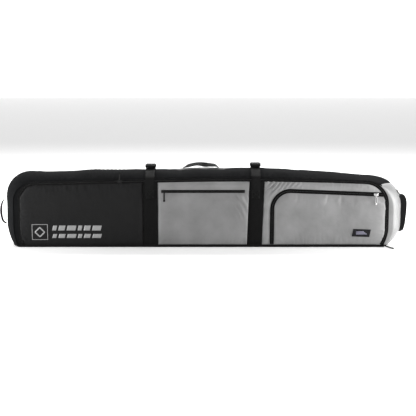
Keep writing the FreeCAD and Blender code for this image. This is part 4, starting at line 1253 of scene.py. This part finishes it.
def make_handles():
    low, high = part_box("top_handle")
    span = high.x - low.x
    rise = high.z - low.z
    stations = ((0.0, -0.45), (0.08, -0.10), (0.24, 0.45), (0.45, 0.72), (0.62, 0.50), (0.78, 0.42),
                (0.92, 0.20), (1.0, -0.40))
    path, t = curve_through([(low.x + f * span, 0, low.z + h * rise) for f, h in stations], 60)
    twist = (26 + 16 * np.exp(-((t - 0.60) / 0.12) ** 2)) * smooth(t / 0.18) * smooth((1 - t) / 0.18)
    middle = (low.x + high.x) / 2
    foot = ((middle, 0, low.z - 0.001), (middle, 0, low.z + rise * 0.55))
    ribbon("top_handle_webbing", path, twist, 0.026, "top_handle_body", ("top_handle",), foot=foot)

    low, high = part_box("left_end_loop")
    reach, tall = high.x - low.x, high.z - low.z
    stations = ((0.0, 1.0), (0.45, 0.91), (0.82, 0.76), (1.0, 0.52), (0.90, 0.28), (0.62, 0.10), (0.0, 0.0))
    path, t = curve_through([(high.x - f * reach, 0, low.z + h * tall) for f, h in stations], 48)
    ribbon("left_end_loop_webbing", path, 10 * np.sin(t * math.pi), 0.026, "left_end_loop",
           ("left_end_loop",))

    low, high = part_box("right_end_handle")
    reach, tall = high.x - low.x, high.z - low.z
    stations = ((-0.08, 1.0), (0.17, 0.89), (0.45, 0.80), (0.56, 0.70), (0.56, 0.58), (0.50, 0.36),
                (0.40, 0.16), (0.28, 0.06), (0.0, -0.02))
    y = (low.y + high.y) / 2
    path, t = curve_through([(low.x + f * reach, y, low.z + h * tall) for f, h in stations], 60)
    facing = 90 * smooth((t - 0.08) / 0.16) * smooth((1.0 - t) / 0.14)
    ribbon("right_end_handle_webbing", path, facing, 0.029, "right_end_handle", ("right_end_handle",),
           thick=0.0026)


make_handles()


def make_patch(name, material, facing):
    """A reinforcement patch that follows the bulge it is sewn on."""
    low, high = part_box(name)
    rounds = np.linspace(low.y, high.y, 13)
    lift = np.sqrt(DOME ** 2 - rounds ** 2) - DOME
    if facing == "up":
        tree = surface_of(bpy.data.objects["top_gusset_cloth"])
        runs = np.linspace(low.x, high.x, 40)
        grid = np.array([[(x, y, tree.ray_cast(Vector((x, y, 0.5)), Vector((0, 0, -1)))[0].z) for y in rounds]
                         for x in runs])
        out = np.array([0, 0, 1.0])
    else:
        sign = 1 if facing == "right" else -1
        runs = np.linspace(low.z, high.z, 34)
        reach = max(abs(low.x), abs(high.x)) - 0.0010
        grid = np.array([[(sign * (reach + rise), y, z) for y, rise in zip(rounds, lift)] for z in runs])
        out = np.array([sign, 0, 0.0])
    u = np.linspace(0, 1, grid.shape[0])[:, None]
    v = np.linspace(0, 1, grid.shape[1])[None, :]
    rim = np.minimum(np.minimum(u, 1 - u) * 8, np.minimum(v, 1 - v) * 3)
    lift_rim = 0.0016 * smooth(rim + 0.1)
    obj = slab(name + "_cloth", settle(grid + out * lift_rim[..., None]), settle(grid - out * 0.003))
    subdivide(obj)
    finish_piece(obj, "bag_body", material, (name,))


make_patch("top_handle_patch", PATCH, "up")
make_patch("left_handle_patch", PATCH, "left")
make_patch("right_handle_patch", PATCH_SILVER_PAINTED_LIGHT, "right")


# ---- label and print --------------------------------------------------------------------

def draped(name, outlines, tree, lift, body, material, nodes=(), cell=0.004):
    """Thin flat shapes cut into small cells and laid on the puffed panel."""
    points, faces = [], []
    for corners in outlines:
        a, b, c, d = [np.array(p, float) for p in corners]
        across = max(2, int(np.linalg.norm(b - a) / cell) + 1)
        down = max(2, int(np.linalg.norm(d - a) / cell) + 1)
        start = len(points)
        for i in range(down):
            for j in range(across):
                u, v = j / (across - 1), i / (down - 1)
                spot = (a * (1 - u) + b * u) * (1 - v) + (d * (1 - u) + c * u) * v
                y = front_y(tree, spot[0], spot[1], FACE)
                points.append((spot[0], y - lift, spot[1]))
        faces += grid_faces(down, across, start)
    obj = add_mesh(name, points, faces)
    solid = obj.modifiers.new("thickness", "SOLIDIFY")
    solid.thickness = lift * 1.6
    solid.offset = 0
    finish_piece(obj, body, material, nodes)


def rectangle(x0, z0, x1, z1):
    return ((x0, z0), (x1, z0), (x1, z1), (x0, z1))


def stroke(start, end, width):
    """A straight stroke between two points in the front view."""
    start, end = np.array(start, float), np.array(end, float)
    side = np.array([-(end - start)[1], (end - start)[0]])
    side *= width / 2 / np.linalg.norm(side)
    return (start - side, end - side, end + side, start + side)


def make_print():
    """A plain badge, a frame round a lozenge, beside two bars of slanted dashes."""
    tree = panel_surface["left_front_panel"]
    low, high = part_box("panel_print")
    x0, z0, z1 = low.x, low.z, high.z
    size = z1 - z0
    x1, line = x0 + size, 0.0022
    shapes = [rectangle(x0, z0, x1, z0 + line), rectangle(x0, z1 - line, x1, z1),
              rectangle(x0, z0 + line, x0 + line, z1 - line),
              rectangle(x1 - line, z0 + line, x1, z1 - line)]
    middle = np.array([(x0 + x1) / 2, (z0 + z1) / 2])
    reach = size * 0.30
    tips = [middle + reach * np.array(d) for d in ((0, 1), (1, 0), (0, -1), (-1, 0))]
    for a, b in zip(tips, tips[1:] + tips[:1]):
        shapes.append(stroke(a, b, 0.0052))
    for row_low, row_high, row_end in ((0.60, 0.92, high.x), (0.12, 0.38, high.x - 0.012)):
        x, index = x1 + 0.018, 0
        bottom, top = z0 + size * row_low, z0 + size * row_high
        while x < row_end - 0.016:
            length = 0.016 + 0.010 * ((index * 7) % 3)
            shapes.append(((x, bottom), (x + length, bottom), (x + length + 0.005, top), (x + 0.005, top)))
            x += length + 0.009
            index += 1
    draped("panel_print_ink", shapes, tree, 0.0003, "front_cover", PRINT, ("panel_print",))


def make_label():
    tree = panel_surface["right_front_panel"]
    low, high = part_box("label_patch")
    tilt = 0.005
    x0, x1, z0, z1 = low.x - 0.002, high.x + 0.003, low.z + tilt * 0.4, high.z + 0.001
    lean = 0.006
    corners = ((x0, z0), (x1 - lean, z0 - tilt * 0.5), (x1, z1 - tilt), (x0 + lean, z1 - tilt * 0.5))
    draped("label_patch_cloth", [corners], tree, 0.0009, "front_cover", LABEL, ("label_patch",))
    middle = np.array([(x0 + x1) / 2, (z0 + z1) / 2 - tilt * 0.5])
    shapes = []
    for row in range(3):
        rise = row * 0.0046
        shapes.append(rectangle(middle[0] - 0.022, middle[1] - 0.0055 + rise,
                                middle[0] + 0.022 - row * 0.006, middle[1] - 0.0025 + rise))
    draped("label_motif", shapes, tree, 0.0019, "front_cover", MOTIF, cell=0.006)


make_print()
make_label()


# ---- zip tail ---------------------------------------------------------------------------

def make_tail():
    """The stiff end of the zip lies out in front of the lower right corner."""
    low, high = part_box("zip_end_tail")
    start = settle(np.array([[low.x, high.y + 0.001, high.z - 0.002]]))[0]
    end = np.array([high.x - 0.010, low.y, low.z + 0.0014])
    t = np.linspace(0, 1, 16)[:, None]
    path = start * (1 - t) + end * t
    path[:, 2] -= 0.0015 * np.sin(t[:, 0] * math.pi)
    ahead = (end - start) / np.linalg.norm(end - start)
    across = np.cross(ahead, np.array([0, 0, 1.0]))
    across /= np.linalg.norm(across)
    up = np.cross(across, ahead)
    obj = sweep("zip_end_tail_cord", path, tiled(across, len(path)), tiled(up, len(path)),
                round_outline(0.0064, 0.0052))
    finish_piece(obj, "bag_body", ZIP_TAPE, ("zip_end_tail",))


make_tail()


# ---- inside: foam, linings and pocket liners ---------------------------------------------

def make_layer(name, body, material, wave, seed):
    """A flat inner layer in the cover's outline, with shallow quilting or loose ripples."""
    low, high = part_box(name)
    line = Outline(-low.x, high.x, high.z, (0.055, 0.090), low.z, step=0.012)
    columns = np.unique(line.points[:, 0])
    tops = line.top(columns)
    tops[0], tops[-1] = line.left_z, line.right_z
    x, z, v = raised_grid(columns, tops, low.z, 24)
    middle = (low.y + high.y) / 2
    half = (high.y - low.y) / 2
    rim = np.minimum(np.minimum(v, 1 - v) * 10, 1) * np.minimum(np.abs(np.abs(x) - high.x) / 0.02, 1)
    ripple = lumps(x, z, 0.07, seed) * wave * rim
    puff = half * (0.6 + 0.4 * rim)
    obj = slab(name + "_cloth", settle(layered(x, middle - puff + ripple, z)),
               settle(layered(x, middle + puff + ripple, z)))
    finish_piece(obj, body, material, (name,))
    area = float(np.trapz(tops - low.z, columns))
    return obj, (high.x - low.x, high.z - low.z), area


for name, body in (("front_foam_pad", "front_cover"), ("back_foam_pad", "bag_body")):
    pad = make_layer(name, body, FOAM, 0.0001, 81)[0]
for name, body in (("front_lining", "front_cover"), ("back_lining", "bag_body")):
    cloth, flat_size, area = make_layer(name, body, LINING, 0.0004, 91)


def make_liner(name):
    """A flat pocket bag of lining cloth behind its panel."""
    low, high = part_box(name)
    x, z = np.meshgrid(np.linspace(low.x, high.x, 60), np.linspace(low.z, high.z, 24))
    ripple = lumps(x, z, 0.05, 95) * 0.0002
    obj = slab(name + "_cloth", layered(x, low.y + 0.0002 + ripple, z),
               layered(x, high.y - 0.0002 + ripple, z))
    finish_piece(obj, "front_cover", LINING, (name,))


make_liner("middle_pocket_liner")
make_liner("right_pocket_liner")


def make_base_foam():
    low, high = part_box("base_foam_pad")
    x, y = np.meshgrid(np.linspace(low.x, high.x, 120), np.linspace(low.y, high.y, 14))
    soft = np.minimum(np.minimum(x - low.x, high.x - x), np.minimum(y - low.y, high.y - y))
    lift = (high.z - low.z) * (0.6 + 0.4 * np.minimum(soft / 0.006, 1))
    obj = slab("base_foam_pad_cloth", settle(layered(x, y, low.z + lift)), settle(layered(x, y, low.z)))
    finish_piece(obj, "bag_body", FOAM, ("base_foam_pad",))


make_base_foam()


# ---- floor, light and camera --------------------------------------------------------------

def make_floor():
    """A pale floor that runs out to a paler backdrop."""
    surfaces = (("studio_floor", [(-12, -9, 0), (12, -9, 0), (12, 14, 0), (-12, 14, 0)], 0.15),
                ("studio_backdrop", [(-12, 14, 0), (12, 14, 0), (12, 16, 8), (-12, 16, 8)], 0.6))
    for name, corners, glow in surfaces:
        sheet = add_mesh(name, corners, [(0, 1, 2, 3)])
        made, _, shader = new_material(name + "_white")
        set_inputs(shader, {"Base Color": (0.90, 0.90, 0.90, 1), "Roughness": 0.9,
                            "Emission Color": (1, 1, 1, 1), "Emission Strength": glow})
        sheet.data.materials.append(made)


def area_light(name, place, target, size, power):
    data = bpy.data.lights.new(name, "AREA")
    data.shape = "RECTANGLE"
    data.size, data.size_y = size
    data.energy = power
    light = bpy.data.objects.new(name, data)
    light.location = place
    light.rotation_euler = (Vector(target) - Vector(place)).to_track_quat("-Z", "Y").to_euler()
    scene.collection.objects.link(light)


def make_studio():
    make_floor()
    world = bpy.data.worlds.new("studio_air")
    scene.world = world
    world.use_nodes = True
    set_inputs(world.node_tree.nodes["Background"], {"Color": (1, 1, 1, 1), "Strength": 0.62})
    area_light("light_back", (0, 2.0, 2.6), (0, 0, 0.1), (4.5, 1.4), 230)
    area_light("light_right", (2.0, -0.40, 0.45), (0.6, 0, 0.2), (0.5, 0.7), 34)
    area_light("light_left", (-2.0, -0.40, 0.45), (-0.7, 0, 0.2), (0.5, 0.7), 28)
    scene.view_settings.view_transform = "Standard"


CAMERA_DISTANCE = 4.87
CAMERA_HEIGHT_ANGLE = math.radians(8)
CAMERA_X = 0.018
CAMERA_TARGET_Z = 0.153


def make_camera():
    data = bpy.data.cameras.new("photo_camera")
    data.lens = 100
    data.sensor_width = 36
    camera = bpy.data.objects.new("photo_camera", data)
    target = Vector((CAMERA_X, 0, CAMERA_TARGET_Z))
    offset = Vector((0, -math.cos(CAMERA_HEIGHT_ANGLE), math.sin(CAMERA_HEIGHT_ANGLE))) * CAMERA_DISTANCE
    camera.location = target + offset
    camera.rotation_euler = (-offset).to_track_quat("-Z", "Y").to_euler()
    scene.collection.objects.link(camera)
    scene.camera = camera


make_studio()
make_camera()
